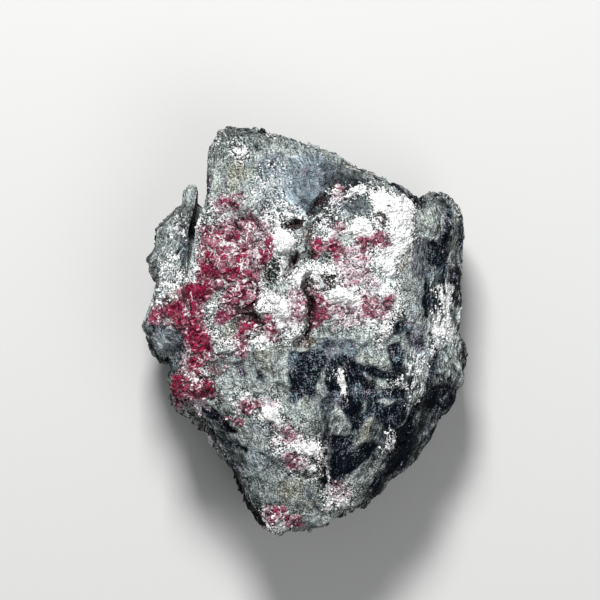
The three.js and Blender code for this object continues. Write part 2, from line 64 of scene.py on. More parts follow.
# The widest outline, seen from above.
OUTLINE = [
    (-4.8, -40), (-3.6, -39.5), (-2.9, -38.9), (-1.8, -39.3), (-0.5, -38.9), (1.6, -38.7), (3.6, -38.2),
    (4.8, -37.3), (6, -36.1), (8, -35.2), (10.6, -34.5), (12.4, -33.6), (15.2, -31.8), (17, -29.5),
    (19.6, -28.1), (21.2, -26.8), (22.8, -25.2), (25, -21.6), (26.6, -18.1), (27.2, -16.8), (28.8, -16),
    (30, -14.2), (30.8, -11.6), (31.6, -10.2), (32, -8.8), (32, -5.6), (31.5, -2.8), (30.9, -0.8),
    (31.2, 3), (31, 9), (31.2, 13.6), (31.8, 17.6), (32, 19.8), (31.5, 22.4), (30.7, 24.6), (29.6, 25.8),
    (28.4, 27.2), (27, 27.4), (25.2, 27), (23.8, 25.7), (22, 26.4), (20, 27.5), (16, 29.4), (12, 31),
    (8, 33), (4, 35.2), (0, 36.3), (-3.5, 38), (-9, 39.1), (-13, 39.4), (-14.8, 40), (-16.2, 39.3),
    (-17.4, 37.2), (-18.4, 34.7), (-19.1, 31.8), (-18.8, 28.4), (-19.3, 25.2), (-20.4, 24.6), (-20.6, 26.6),
    (-21.2, 28.2), (-22.4, 28.5), (-23.3, 27.8), (-23.7, 24.6), (-25.2, 24), (-26.8, 22.1), (-29.1, 20),
    (-29, 16.4), (-30.4, 14.4), (-29.8, 12.4), (-28.5, 10.4), (-28.9, 8.4), (-30.1, 5), (-31.4, 2.4),
    (-32, 0.8), (-31, -1.8), (-29.8, -4.4), (-28, -6.2), (-26.8, -5.4), (-26, -7), (-26.2, -10),
    (-26, -13.4), (-25, -15.8), (-23, -17), (-20.8, -18.4), (-19, -20.2), (-17.6, -23), (-15, -26.1),
    (-12.4, -30.6), (-11.4, -33.4), (-9.8, -36.5), (-7.8, -38.8), (-6.4, -39.7),
]

# How far the edges of the upper and the resting face are set in from the outline: (degrees from +X, inset).
UPPER_INSET = [
    (0, 11), (22, 10.4), (36, 8), (43, 5), (48, 1.4), (60, 0.7), (90, 0.6), (110, 1), (120, 0.9),
    (128, 0.5), (145, 1), (165, 1.6), (178, 3), (188, 5.4), (197, 2), (206, 1.4), (214, 2.2), (221, 4.2),
    (234, 4.6), (248, 2.8), (262, 1.6), (278, 0.9), (290, 1.8), (303, 4.4), (320, 5.8), (336, 8.4),
    (350, 10),
]
LOWER_INSET = [
    (0, 6), (40, 7.5), (75, 5), (110, 6.5), (135, 8), (165, 6), (195, 7), (230, 5), (265, 8.5), (300, 6),
    (335, 7),
]

# Facets of the upper face: a plane through (x, y, z), rising by (a, b) per millimetre of x and y.
FACETS = [
    ((-4, 6, 40), (0, 0.02)), ((-8, 30, 38.4), (0.05, -0.15)), ((12, 22, 38.9), (-0.2, -0.09)),
    ((21, 10, 36), (-0.82, 0)), ((10, -12, 37.2), (-0.22, 0.15)), ((21, -12, 34), (-0.85, 0.3)),
    ((-3, -24, 36.8), (0.02, 0.28)), ((-14, -16, 36.4), (0.4, 0.22)), ((-22, 6, 36.4), (0.42, 0)),
]

# Swellings and hollows of the upper face: (x, y, half length, half width, turn in degrees, height).
RELIEF = [
    (-10.4, 1.9, 3.4, 2.1, 10, -3.6), (-5.2, 5.2, 5.8, 3.6, 75, 1.7), (-4, 17.7, 3.4, 3, 0, 1.1),
    (-8.6, -3, 3.6, 3, 0, 1.2), (-16, -1.2, 4.4, 3.4, 80, 1.1), (-14, 15, 9, 6, 75, 0.9),
    (-1.6, 21.2, 1.8, 1, 0, -2), (-0.6, 13.4, 5, 3.6, 60, -1), (16.5, 21, 8, 5, 70, 0.9),
    (-6.9, -16.2, 2.6, 2.3, 0, 1.1), (1, -23, 3.8, 2.2, -10, 0.9), (-3, -27.6, 5.6, 2.4, -15, -1.1),
    (-4.6, -37.4, 2.6, 2, 0, 0.8), (24, 21.4, 3.4, 4.4, 0, 1.3), (-27.4, 7, 4, 2.6, 70, 0.9),
    (31, -6, 3, 4, 0, 0.8), (8.6, -15.8, 3, 2, 80, 0.7), (12, -20.4, 3.6, 1.8, 80, 0.7),
    (15.8, -10.4, 2, 1.6, 0, 0.7), (-13.3, 19.6, 1.2, 1, 0, -1), (-9, 20.3, 1, 0.9, 0, -0.8),
    (-18, 12.6, 1, 1.4, 0, -0.8), (4.9, 10, 1.4, 1.6, 0, -0.7), (11.2, 20, 3, 1.3, 0, 0.8),
    (8.6, 6.8, 3.2, 1.3, 0, 0.6),
]

# Cracks, gaps and furrows: (half width, depth, the points it runs through).
CRACKS = [
    (1.1, 2.4, [(0.6, 10.6), (0.9, 7), (1.7, 4.6), (1.1, 2), (0.8, -0.6), (-1.6, -2.6)]),
    (0.6, 1.1, [(1.2, 20.4), (1.2, 18), (0.4, 16.6)]),
    (0.7, 1.4, [(-1.3, 15.5), (-2, 14), (-2.5, 12.5), (-3.8, 10.8)]),
    (0.6, 1.3, [(1.2, 23.2), (2, 24.6), (3.4, 26.2), (4.6, 26.6)]),
    (0.4, 0.6, [(4.2, 28.5), (4.2, 32.5)]),
    (0.5, 1.4, [(-8.8, 1.8), (-7.8, 0.6)]),
    (0.5, 1.0, [(-16.8, 23.3), (-17, 21), (-17.2, 19), (-16.8, 17)]),
    (0.4, 0.7, [(-17, 26.8), (-16.2, 26)]),
    (0.4, 0.4, [(-7.5, 30), (-7.5, 22.4)]),
    (0.4, 0.8, [(-17.7, -12), (-17.7, -7)]),
    (0.4, 0.7, [(-18, -5.2), (-17, -4.2), (-14.5, -4.8), (-13, -3.9)]),
    (0.4, 0.8, [(18.2, 7.5), (18.3, 12)]),
    (0.6, 1.4, [(24.2, 3), (24.4, 6.5), (24.2, 10)]),
    (0.45, 0.9, [(22.6, -12.4), (21.6, -14.5), (20.8, -18), (20, -22), (16.8, -23.8), (14.4, -28.4),
        (12, -33.4)]),
    (0.6, 0.9, [(-19.5, -14), (-17.2, -16.8), (-16, -18.4), (-13.4, -19.8)]),
    (0.8, 1.2, [(-15.5, -22), (-13.5, -22), (-11.3, -23.5)]),
    (0.5, 0.8, [(-8.6, -24), (-6, -26)]),
    (0.5, 0.8, [(-2, -27.5), (0, -28.6), (3.6, -28.8)]),
    (0.8, 1.4, [(-28, -6), (-27.2, -4), (-26.5, -2)]),
    (0.5, -0.5, [(4.2, -6), (4.4, -18), (5, -31)]),
    (0.5, 0.7, [(5.5, -6), (5.9, -18), (6.2, -30)]),
    (0.5, 0.8, [(27.4, 25), (28, 18), (26.4, 12)]),
    (0.6, 0.8, [(28.6, 10), (28, 2), (29.4, -8)]),
]

# The split between the block and the leaf on its left: (x, y, half width), from its mouth to its root.
SPLIT = [
    (-20.2, 30, 1.1), (-20.1, 27, 1), (-20.6, 24.4, 0.95), (-21.4, 22.4, 0.8), (-22, 20, 0.8),
    (-22.1, 17, 0.55), (-22.5, 14.4, 0.35), (-22.8, 12, 0.1),
]
SPLIT_MOUTH = (28, 7)  # y and floor height
SPLIT_ROOT = (13, 31)
LEAF_DROP = 8.5
LEAF_ROOT_Y = 7
LEAF_SINK = 1.5  # how far the leaf reaches below the split's floor

# Seen from above, a rough outline of the leaf.
LEAF_OUTLINE = [
    (-28.5, 10), (-23, 10), (-22.6, 14), (-22.6, 20), (-20.8, 26), (-21, 28.4), (-22.4, 28.7), (-23.6, 28),
    (-23.9, 25), (-25.4, 24.2), (-29.3, 20), (-30.6, 14.4),
]

# Layer edges on the walls: (spacing in height, depth, drift with x, drift with y, phase).
LEDGES = [(8.2, 1.7, 0.035, 0.02, 0.35), (4.6, 0.7, -0.04, 0.05, 1.1)]
FINE_LEDGES = [(2.1, 0.55, 0.03, -0.02, 0.2), (1.15, 0.3, -0.02, 0.03, 0.7)]

# ---------------------------------------------------------------- where each mineral lies

# Each mineral's areas on the upper face: (how full of it the area is, from 0 to 1, and the area's outline).
AREAS = {
    "red": [
        (0.38, [(-17, 25), (-12.6, 26.4), (-11, 22), (-7.4, 20), (-6.4, 15.4), (-9, 12), (-9.4, 7),
            (-13, 20)]),
        (0.54, [(-19.6, 19.6), (-17.4, 20), (-15.8, 17.4), (-15.4, 12), (-16.6, 9), (-18.4, 8.6),
            (-19.6, 12)]),
        (0.46, [(-26.8, 6.2), (-23.4, 8.6), (-19, 9.8), (-18.4, 7.4), (-20.4, 5), (-19.4, 0), (-18.8, -5),
            (-22, -5), (-22.6, -1), (-24, 1.6), (-26.8, 2)]),
        (0.54, [(-26.2, -8.6), (-24, -8.6), (-22, -10.4), (-20.4, -10), (-18.6, -9.8), (-18.4, -12.4),
            (-20, -12.8), (-23.6, -12.4), (-24.6, -13.4), (-25, -15.2), (-25.8, -15.2)]),
        (0.4, [(-30.2, 4.4), (-27.8, 4.8), (-27.4, 3), (-28.6, 2), (-30.2, 2)]),
        (0.24, [(-17.4, -5), (-15, -5), (-15, -6.8), (-16.6, -9.4), (-16.4, -13), (-17.6, -12.4)]),
        (0.43, [(-20, 19.8), (-19, 20.6), (-16.4, 19.6), (-15, 21.6), (-12.6, 22), (-11.4, 21), (-10, 17),
            (-10.4, 13.6), (-10.4, 9.4), (-10.8, 5), (-13, 3.6), (-16.6, 2), (-15.8, 6), (-14.2, 9),
            (-18.2, 10), (-20.4, 12), (-19.4, 16.4)]),
        (0.85, [(-14, 18.4), (-14, 20.8), (-13, 21.2), (-12.4, 19.6), (-13, 17.8)]),
        (0.8, [(-9.6, 19.8), (-9.2, 20.8), (-8.2, 20.4), (-8.4, 19.6)]),
        (0.9, [(-18.8, 19), (-17, 19.2), (-16.2, 18), (-17.6, 17.2)]),
        (0.9, [(-18.8, 15.6), (-17, 15.8), (-16.6, 14.2), (-18.2, 13.6)]),
        (0.95, [(-16.6, 14.6), (-15.2, 14.6), (-14.8, 12.6), (-16.2, 12.6)]),
        (1, [(-20.2, 12.8), (-18.4, 13.2), (-16.6, 12), (-17, 10.6), (-19.8, 10.8)]),
        (0.78, [(-15.6, 12.4), (-12, 12.6), (-10.4, 11.4), (-11, 9.2), (-13.4, 9.4), (-15, 10.4)]),
        (0.8, [(-12.2, 16.8), (-11, 16.8), (-11, 14), (-12.2, 14)]),
        (0.46, [(-9.2, 17.6), (-7.6, 17.8), (-6.8, 16), (-7.8, 14), (-9.4, 14.2)]),
        (0.72, [(-14.6, 8), (-12, 8.2), (-11.6, 6), (-13.4, 5), (-15, 6)]),
        (1, [(-23.6, 8), (-22.6, 8.9), (-21, 9.2), (-20, 9), (-19.2, 10), (-18.6, 10), (-18.4, 8.4),
            (-18.8, 6.6), (-20.4, 6.6), (-20.6, 5.2), (-21.4, 5), (-21.8, 6.4), (-22.8, 7)]),
        (1, [(-26.6, 5.6), (-25.4, 6.6), (-24.4, 6.4), (-24, 5), (-23.4, 3), (-23.4, 1.2), (-25.4, 1),
            (-26.8, 3.6)]),
        (1, [(-22.2, 6.6), (-20.8, 5.6), (-20.6, 1.8), (-19.6, 0.8), (-18.6, -2), (-18.4, -3.8),
            (-19.6, -4.8), (-21.2, -4.4), (-22.4, -2.4), (-22.8, -0.8), (-23, 1.6), (-22.8, 3)]),
        (0.85, [(-22, -5), (-20.8, -4.8), (-20.2, -6), (-20.2, -7.6), (-21, -8.6), (-22.4, -8),
            (-22.8, -6)]),
        (1, [(-26, -8.8), (-24.4, -8.3), (-23.2, -9.2), (-23.4, -11.8), (-24.4, -12.6), (-24.6, -15),
            (-25.8, -15.2)]),
        (0.8, [(-20.6, -10), (-18.6, -9.6), (-18.2, -11), (-18.2, -12.6), (-20.4, -12.8), (-20.8, -11.6)]),
        (0.7, [(-24, -10.6), (-22, -10.8), (-20.4, -11.2), (-20.4, -12.6), (-22, -12.6), (-23.6, -12)]),
        (1, [(-12, 0.1), (-11.9, 2.1), (-10.3, 2.1), (-9.4, 1.6), (-9.1, 0.4), (-10.6, -0.1)]),
        (0.56, [(-12.7, -1), (-11.4, -0.7), (-11.3, -3.4), (-12, -4.8), (-12.7, -4)]),
        (0.72, [(-8, 2.7), (-6.6, 2.6), (-5, 0), (-5.2, -1.4), (-6.4, -0.6), (-7.2, 1)]),
        (0.9, [(2.1, 17.6), (3, 17.4), (3.4, 16.4), (3.5, 15.3), (2.9, 14.9), (2.1, 15.6)]),
        (1, [(5.2, 17), (5.9, 17.6), (6.8, 17.3), (6.9, 16), (6.5, 15), (5.6, 15), (5.2, 15.8)]),
        (0.56, [(10.6, 17), (11.4, 17.9), (12.7, 17.6), (12.6, 16.6), (11.4, 16.2)]),
        (0.58, [(14, 18.4), (14.8, 19.5), (16, 18.6), (16.1, 17.2), (15, 16.7), (13.9, 17.2)]),
        (0.24, [(8.2, 11.2), (10.2, 11.4), (10.6, 9.8), (9.6, 9), (8.4, 9.6)]),
        (0.52, [(11.8, 5.6), (13.6, 6.7), (15, 5.6), (17.2, 6.4), (17, 4.8), (14.6, 2.8), (12.2, 3.2),
            (11.6, 4.4)]),
        (0.5, [(-1.8, 7.8), (-0.8, 8.1), (0.2, 6.8), (0.8, 5), (0.4, 3.4), (-1, 2.1), (-2.1, 3.4),
            (-1.6, 5.4)]),
        (0.38, [(2, 8), (3.2, 6.8), (4.2, 5.6), (4.5, 3.4), (3.4, 1.8), (2.1, 1), (2, 4)]),
        (0.7, [(-29.9, 3.4), (-28.9, 3.4), (-28.7, 2.2), (-29.7, 2.2)]),
        (0.42, [(-12, -14.4), (-9.4, -14.2), (-8.2, -14.4), (-8.4, -15), (-11.6, -15)]),
        (0.9, [(-9.6, -14.3), (-8.4, -14.2), (-8.4, -15), (-9.6, -15.1)]),
        (0.6, [(-13.9, -17.3), (-13.1, -17.3), (-13.1, -17.9), (-13.9, -17.9)]),
        (0.39, [(-4.6, -19.4), (-1.6, -19.6), (-1.4, -21), (-3.6, -21.2)]),
        (0.38, [(-3.2, -24.8), (-1.2, -24.4), (-0.8, -26.6), (-2.8, -27)]),
        (0.42, [(-7, -35), (-3.4, -35), (-3, -36), (-6.8, -36.2)]),
        (0.6, [(-7.3, -35.9), (-6.2, -35.9), (-6, -37.2), (-7, -37.3)]),
        (0.5, [(-3, -37.2), (-0.6, -37), (-0.4, -38.8), (-2.6, -39.2)]),
        (0.18, [(6.2, -30.2), (7.9, -30.4), (7.9, -31.8), (6.4, -31.8)]),
        (0.34, [(6.6, 27.9), (7.5, 27.8), (7.4, 26.6), (6.6, 26.8)]),
        (0.5, [(6.5, 20.4), (7.4, 20.4), (7.4, 19.6), (6.5, 19.6)]),
        (0.24, [(4.8, 4.6), (8, 5), (11.6, 5.2), (12, 2.8), (8.6, 1.6), (5.6, 1.8)]),
        (0.22, [(6.6, 15), (8, 15.6), (9.4, 15.8), (11, 16), (12.6, 14), (11.6, 11.6), (8.6, 11.2),
            (7, 12)]),
    ],
    "pink": [
        (0.8, [(6.8, 15), (8, 15.4), (9, 16.6), (10.4, 16.8), (12.2, 16), (12.8, 14), (12, 12.2),
            (10, 12.4), (8.6, 11.4), (7, 12)]),
        (0.66, [(8, 11.6), (10.6, 11.8), (11.4, 10), (10, 8.6), (8, 9)]),
        (0.66, [(10.8, 10), (14, 10.2), (14.6, 8), (12.6, 7), (10.8, 8)]),
        (0.74, [(5.4, 4.6), (8, 4.8), (10, 5), (11.8, 4.6), (12.2, 2.6), (8.6, 2), (5.8, 2.8)]),
        (0.6, [(11.6, 6.8), (17.6, 7), (17.4, 4), (14.6, 2.2), (11.6, 2.4)]),
        (0.66, [(-24, -4.6), (-20, -4.6), (-20, -9), (-23.8, -8.6)]),
        (0.6, [(-10, 23), (-7, 22), (-6.4, 19), (-7.4, 17.4), (-9, 19)]),
        (0.58, [(-2.6, 8.4), (0.4, 8.4), (1.2, 4), (-0.4, 1.4), (-2.8, 2)]),
        (0.55, [(-12.8, -13.4), (-6.2, -13), (-6.2, -15), (-12.8, -15.8)]),
        (0.55, [(-5.6, -18.6), (-0.6, -18.8), (-0.6, -21.6), (-5, -21.8)]),
        (0.6, [(-4, -24), (0.6, -24.2), (1, -27.4), (-3.6, -27.6)]),
        (0.55, [(-24.6, -12.6), (-19.6, -12.8), (-19.4, -15), (-22, -15.8), (-24.4, -15)]),
        (0.5, [(6, -29.8), (8.6, -30), (9, -33), (6.4, -33)]),
        (0.4, [(-17.4, 26), (-15, 26.4), (-15, 20), (-17, 20)]),
    ],
    "white": [
        (0.38, [(-20, 21), (-16, 24), (-11, 23), (-6, 21.6), (-5.6, 14), (-9, 11), (-9.4, 5), (-17, 2),
            (-16, 9), (-20.8, 11)]),
        (0.8, [(-13.8, 35.4), (-12.8, 36.4), (-11.8, 35.6), (-11.6, 34.2), (-12.8, 33.9)]),
        (0.3, [(-10, 24), (-9.4, 29), (-7, 32), (-4.4, 31.6), (-3.6, 26), (-4.6, 23), (-7, 22)]),
        (1, [(-7.6, 19.4), (-6, 19), (-5.6, 21), (-4.6, 22.4), (-4, 20.4), (-2.6, 19.3), (-1.6, 18),
            (-1.8, 16.6), (-3, 15.5), (-5, 15), (-6.4, 15.6), (-7.2, 17.4)]),
        (0.54, [(-8, 24.6), (-2.4, 24.8), (-1.4, 22.4), (-4, 20.6), (-7.6, 21)]),
        (0.8, [(-3, 12.6), (0, 13.2), (3.4, 13.6), (4.6, 12), (2, 10.4), (-1, 9.4), (-2.4, 10.8)]),
        (0.62, [(14, 10.4), (18, 9), (18.6, 2), (16, -1.4), (14.6, 1), (17, 4)]),
        (0.5, [(26, 8.6), (29.6, 9), (30, 2), (26, -0.6), (25.6, 4)]),
        (0.85, [(-9.4, 6), (-8.6, 7.8), (-7, 8.4), (-5.8, 7.2), (-4.6, 6.4), (-3, 7.2), (-2, 6),
            (-2.2, 3.4), (-3, 1.2), (-4.6, -0.2), (-5.6, 2), (-6.4, 3.6), (-8, 3.6), (-9.2, 4.4)]),
        (1, [(-4.2, 6), (-3, 6.4), (-2.2, 5), (-2.6, 2.8), (-3.6, 1), (-4.8, 1.6), (-4.6, 3.6)]),
        (0.72, [(-4.4, 13), (-3.6, 14), (-2.6, 12), (-0.6, 12.6), (2.6, 12.6), (3.8, 11), (1.6, 10.2),
            (0.6, 8.8), (-0.8, 8), (-3, 10), (-5, 9.6)]),
        (0.62, [(-2.6, 1.6), (-0.4, 2), (0.6, 0.6), (-0.4, -1.6), (-3.6, -2), (-4.6, -0.6)]),
        (0.95, [(-11, -1.6), (-9, -0.1), (-6.6, -0.3), (-5.9, -1.6), (-8, -2.4), (-10.6, -2.7)]),
        (0.54, [(-18.6, -2.2), (-17.6, -3.8), (-16, -4), (-13.2, -3.9), (-12.6, -2.4), (-13.6, -1),
            (-17, -1.4)]),
        (0.46, [(-20.8, 4.4), (-19, 5.2), (-16.6, 5), (-16, 3), (-17, 1.4), (-19, 0.4), (-20.2, 1.6)]),
        (0.75, [(-23.6, -9), (-21.4, -8.6), (-20, -9), (-20.6, -10), (-22.6, -10.2)]),
        (0.44, [(-28.6, 13), (-26, 14.4), (-24, 12.6), (-21, 13), (-20.4, 10), (-23.6, 8), (-25, 6.8),
            (-27, 5.6), (-29.2, 6.4), (-28.6, 10)]),
        (0.34, [(-28.2, 17), (-26, 17.2), (-25, 15), (-27, 13.6), (-28.2, 15)]),
        (0.6, [(-21.4, 21.4), (-19.8, 21.6), (-19.6, 19), (-20.8, 18.6)]),
        (0.9, [(13, 27.6), (14.6, 27.8), (16, 26.9), (18.4, 26.6), (20.6, 26.6), (21.7, 25.6), (21.4, 20),
            (21.7, 18), (20.6, 16), (19, 15.6), (18.6, 13), (17.4, 10.8), (16, 10.9), (14.6, 12.2),
            (13.6, 13), (15, 16), (17, 17), (17, 19.6), (16.6, 22), (15.4, 22.4), (14.6, 23.6),
            (13.4, 24.6)]),
        (0.62, [(13.6, 24), (15.6, 22), (16.6, 19.4), (14.6, 19.8), (12.6, 22)]),
        (0.62, [(12.6, 16), (14.6, 17), (17, 16.4), (16.4, 13), (14, 11.8), (12.4, 13)]),
        (0.92, [(8, 20.4), (9.4, 21.5), (11, 22), (13, 21.4), (14, 20.6), (13.9, 18.8), (12.4, 18.1),
            (10.4, 18), (9.6, 19), (8.2, 19.2)]),
        (0.9, [(4.2, 7.6), (6, 8.8), (9.4, 9), (11, 8), (13.4, 7.4), (14.6, 7.1), (12, 6), (9.6, 5.6),
            (8, 4.9), (6.6, 5), (5.4, 6.2)]),
        (0.75, [(14, 11.4), (15.6, 10), (17.4, 8.6), (18.2, 7.2), (16.6, 6.8), (14.6, 7), (13.8, 9)]),
        (0.85, [(17.4, 6.8), (19.2, 6.6), (19.2, 5), (18, 4.4), (17.2, 5.4)]),
        (0.85, [(10.8, 2), (12.4, 2.4), (14.6, 2), (14.4, 1.2), (12, 1.1)]),
        (0.75, [(14, 1), (16, 0.8), (16, -1), (15.2, -2.4), (14.2, -1)]),
        (0.75, [(8, 26.2), (9, 28.2), (11.4, 28.6), (12.8, 28), (12.2, 27), (10, 27.2), (9, 26)]),
        (0.62, [(4.8, 27), (7.6, 27.8), (7.4, 24.8), (5, 24.8)]),
        (0.46, [(2.4, 22.6), (7.6, 23), (8.4, 20), (5, 18), (2.6, 19)]),
        (0.6, [(4, 9), (7, 9.6), (8, 12), (7, 14), (4.4, 13)]),
        (0.7, [(5.9, -7.8), (7, -7.2), (7.9, -9.6), (8.5, -12.6), (7, -12.4), (6.1, -10)]),
        (0.95, [(-8.4, -15), (-7, -14.2), (-5.4, -15), (-4.7, -16.8), (-5.6, -18), (-7.8, -17.8),
            (-8.8, -16.6)]),
        (1, [(-2, -22.4), (0, -21.6), (2, -21.9), (3.7, -23.4), (3, -24.3), (0.6, -24.4), (-1.2, -23.8)]),
        (0.5, [(-5.6, -21), (-2, -21.4), (-0.6, -24.6), (-3.6, -25.4), (-5.6, -23.4)]),
        (0.6, [(-1.6, -24), (3.6, -24.4), (4, -28.6), (0.6, -28), (-1.6, -26.6)]),
        (0.66, [(-13, -12.4), (-10.6, -12.6), (-10.4, -13.8), (-12.6, -13.9)]),
        (0.85, [(4.2, -33.6), (5.8, -33.6), (6, -35), (4.4, -35.2)]),
        (0.85, [(6.8, -32.6), (8.4, -32.4), (9.4, -34), (8.6, -34.8), (6.9, -34.4)]),
        (0.6, [(4.2, -30.2), (6.8, -30.6), (7, -34), (4.4, -34)]),
        (0.7, [(-8.2, -36.4), (-3, -36), (-2.6, -39.4), (-6, -40), (-8, -38.8)]),
        (0.52, [(20.6, -5), (23.8, -4.4), (24.6, -7), (23.2, -8.8), (21, -8)]),
        (0.42, [(20.4, -9), (23, -9), (23.2, -11), (22, -13.4), (20.6, -15), (20, -13)]),
        (0.68, [(24.6, -4.4), (26.4, -2.2), (29.6, -1.4), (30.2, 1), (29, 4), (27.4, 3), (25.6, 1),
            (25.6, -1)]),
        (0.6, [(16.8, -19.5), (17.9, -20.4), (17.6, -22.6), (16, -24.4), (16.3, -22)]),
        (0.6, [(19.6, -8), (20.6, -11), (17.4, -11.4), (17, -10.9)]),
        (0.34, [(-24.8, 22), (-23.4, 22.4), (-23.2, 19), (-24.6, 18.6)]),
    ],
    "slate": [
        (0.5, [(-1.6, 31), (0, 32), (2, 31.6), (4, 33), (5.4, 33.4), (5, 31), (4.4, 28.4), (4, 26.6),
            (2, 25), (1, 24), (-0.6, 25.4), (-1.8, 27), (-1.8, 29)]),
        (0.52, [(4.6, 32.4), (8, 32.8), (11, 31), (12.8, 29), (10.6, 28.2), (8, 27.8), (6, 28.2),
            (4.6, 29)]),
        (0.56, [(1.2, 24.6), (4.6, 27), (5, 25.2), (3, 23.6), (2, 22.8)]),
        (0.5, [(8, 27), (12.6, 27), (13, 24), (10, 23.4), (8, 24.4)]),
        (0.9, [(21.2, 25.8), (22.6, 26.6), (24.2, 25), (23.7, 23.8), (22, 24.6)]),
        (0.75, [(24.2, 25.6), (26, 27.4), (28.8, 26.6), (28.4, 25), (26, 25.6)]),
        (1, [(27.6, 25.6), (28.8, 25), (28.8, 22), (29.1, 20), (28.2, 17), (28.6, 12), (28, 10), (27, 12),
            (26.8, 16), (27.6, 20)]),
        (0.8, [(24, 14), (24.4, 17), (25.6, 17.8), (27.2, 17.4), (27.2, 12.6), (25, 12.6)]),
        (0.55, [(21.5, 18.4), (24.4, 18.4), (24.4, 11), (22, 10.2), (21.6, 13)]),
        (0.72, [(16, 2.4), (18, 1.7), (20.4, 2.6), (20.4, -0.6), (18, -0.6), (16.4, 0.4)]),
        (0.62, [(20, 1.6), (24, 1.4), (24.2, -3.4), (22.6, -4.2), (20, -2.4)]),
        (1, [(24, 10.4), (24.7, 8), (24.3, 3), (23.5, 2.6), (23.5, 6), (23.9, 8)]),
        (0.85, [(24.6, 7.8), (26.2, 7), (26.9, 4.6), (25.6, 3), (24.6, 4)]),
        (0.72, [(29.8, 12), (30.6, 12), (30.9, 4), (30.6, -0.6), (29.6, 2), (29.4, 8)]),
        (0.62, [(26.6, 12), (28.4, 12), (29, 7), (28.4, 5), (27, 8)]),
        (1, [(-2.7, -3.8), (0, -4), (2.5, -3.2), (4.2, -3.8), (4.4, -6), (3.8, -8), (3, -10), (2.8, -12),
            (2, -13.3), (1.2, -13.2), (0.4, -12.6), (-0.4, -12.8), (-1.6, -13.8), (-2.9, -14)]),
        (0.62, [(2.6, -1.6), (9.6, -1.8), (10.4, -5), (7, -8), (4.4, -8), (3, -4)]),
        (1, [(4.6, -5.2), (7, -4.2), (10, -4.6), (10.6, -6.2), (13, -7.2), (16, -7.8), (18.4, -9.2),
            (17.2, -10.6), (20, -11.6), (20.2, -17), (17.8, -19.8), (15.8, -18.6), (13.6, -16.7),
            (11.8, -17.4), (11.2, -19.4), (10, -20.6), (9.1, -18.2), (8.6, -16.4), (7.6, -14.8), (6, -13.8),
            (4.4, -13.6), (4.4, -8)]),
        (0.6, [(3, -13.6), (5.8, -13.8), (5.6, -20), (4.4, -20), (4, -16)]),
        (0.72, [(4, -20.4), (6, -20.2), (9, -20.6), (10.2, -21), (9.8, -23.2), (6, -23), (4.6, -22)]),
        (1, [(6, -23.8), (8, -23.2), (10, -23.4), (12.8, -22.2), (14, -21.6), (15, -22.6), (12.6, -25.6),
            (11, -26.6), (9.6, -27.6), (8, -28.6), (6.8, -30), (5.4, -30.4), (4.1, -31.4), (4, -28),
            (5.6, -27.6)]),
        (0.75, [(3.8, -27), (5.2, -27), (5.4, -33), (4, -33.4)]),
        (1, [(18.2, -19.6), (20, -18), (21.6, -18.2), (22, -20), (21.4, -22.6), (20.6, -25), (20.2, -27),
            (18, -28.2), (16, -28.4), (14.6, -30.4), (13.2, -32.4), (13.4, -30), (15, -27.8), (16, -25.6),
            (17.8, -23.6), (18.2, -21.6)]),
        (1, [(23.2, -11.8), (22.3, -13.4), (21.3, -15.4), (20.2, -18.2), (21.8, -17.4), (22.6, -14.8),
            (23.9, -12.6)]),
        (0.78, [(24.2, -11.4), (26, -10.8), (30, -10.8), (30.9, -12.4), (29.8, -15.2), (27, -16.8),
            (26.4, -18), (25, -16), (23.8, -14)]),
        (0.85, [(16.8, -3), (18.6, -2.4), (19.8, -4.6), (19.6, -8), (18.6, -9), (18, -6.6), (16.8, -5)]),
        (0.9, [(26.6, -2.8), (26, -3), (25.2, -6), (24.4, -11), (25.2, -11), (26, -7)]),
        (0.5, [(24, -17), (26.4, -18), (24, -24), (21.4, -27), (22, -22)]),
        (0.62, [(13, -31), (16, -29), (18, -28.8), (15, -32)]),
        (0.62, [(-28.2, 0.8), (-25.4, 0), (-23.6, -0.4), (-23, -4), (-23.8, -7.6), (-26, -7.6),
            (-26.8, -3)]),
        (1, [(-28, -3.4), (-26.6, -2.6), (-26.4, -5), (-27.4, -5.4)]),
        (0.66, [(-13.6, -6.2), (-11.8, -6), (-11.6, -8.4), (-13, -9)]),
        (0.75, [(-9.4, -7.8), (-8.2, -7.8), (-8, -10), (-9, -9.8)]),
        (0.8, [(-20.8, -13.8), (-18.6, -14), (-16, -16.8), (-13.2, -19.6), (-14, -20.4), (-17, -18.4),
            (-20, -15.8)]),
        (0.75, [(-16, -21.6), (-13.4, -21.6), (-11.2, -23.2), (-11.4, -24.2), (-14, -22.8), (-16, -22.6)]),
        (0.5, [(-18.6, -18), (-13, -20), (-11, -26), (-14, -27), (-17, -23)]),
        (0.6, [(-4.4, 12.6), (-3, 14), (-1.2, 16), (-0.8, 15), (-2.4, 11.6), (-3.6, 10.4)]),
        (0.6, [(-25, 20.6), (-23.4, 20.4), (-22.4, 16), (-23.4, 13), (-24.6, 15)]),
        (0.66, [(-29, 4), (-27.6, 3.4), (-27, 0), (-28.6, -2), (-30.4, 0)]),
    ],
    # Not a mineral: painted shade in the cracks and pits, nearly black, where the face also sinks a little.
    "shaded_pit": [
        (0.85, [(0.4, 10.4), (1.5, 10.6), (1.2, 7.8), (2.2, 5), (2.2, 2.6), (1.2, 0), (0.6, -1.6),
            (-0.4, -1.2), (0.4, 0.4), (1, 3), (0.9, 5.2), (0, 7.8)]),
        (0.8, [(-4.4, 20.5), (-3.2, 21.4), (-2, 22.1), (-0.3, 21.7), (-0.3, 20.6), (-1.6, 20.1)]),
        (0.66, [(0.3, 16.3), (1.6, 15.7), (2.3, 14.5), (1.2, 13.9), (0.4, 14.6)]),
        (0.66, [(3.5, 11.8), (4.6, 10.8), (6, 11.1), (6, 9.5), (5, 8.5), (4.1, 10)]),
        (0.8, [(-13.4, 3.2), (-12, 4.8), (-10, 5), (-8.8, 3.8), (-8.2, 2.2), (-9.2, 2.2), (-10, 3.2),
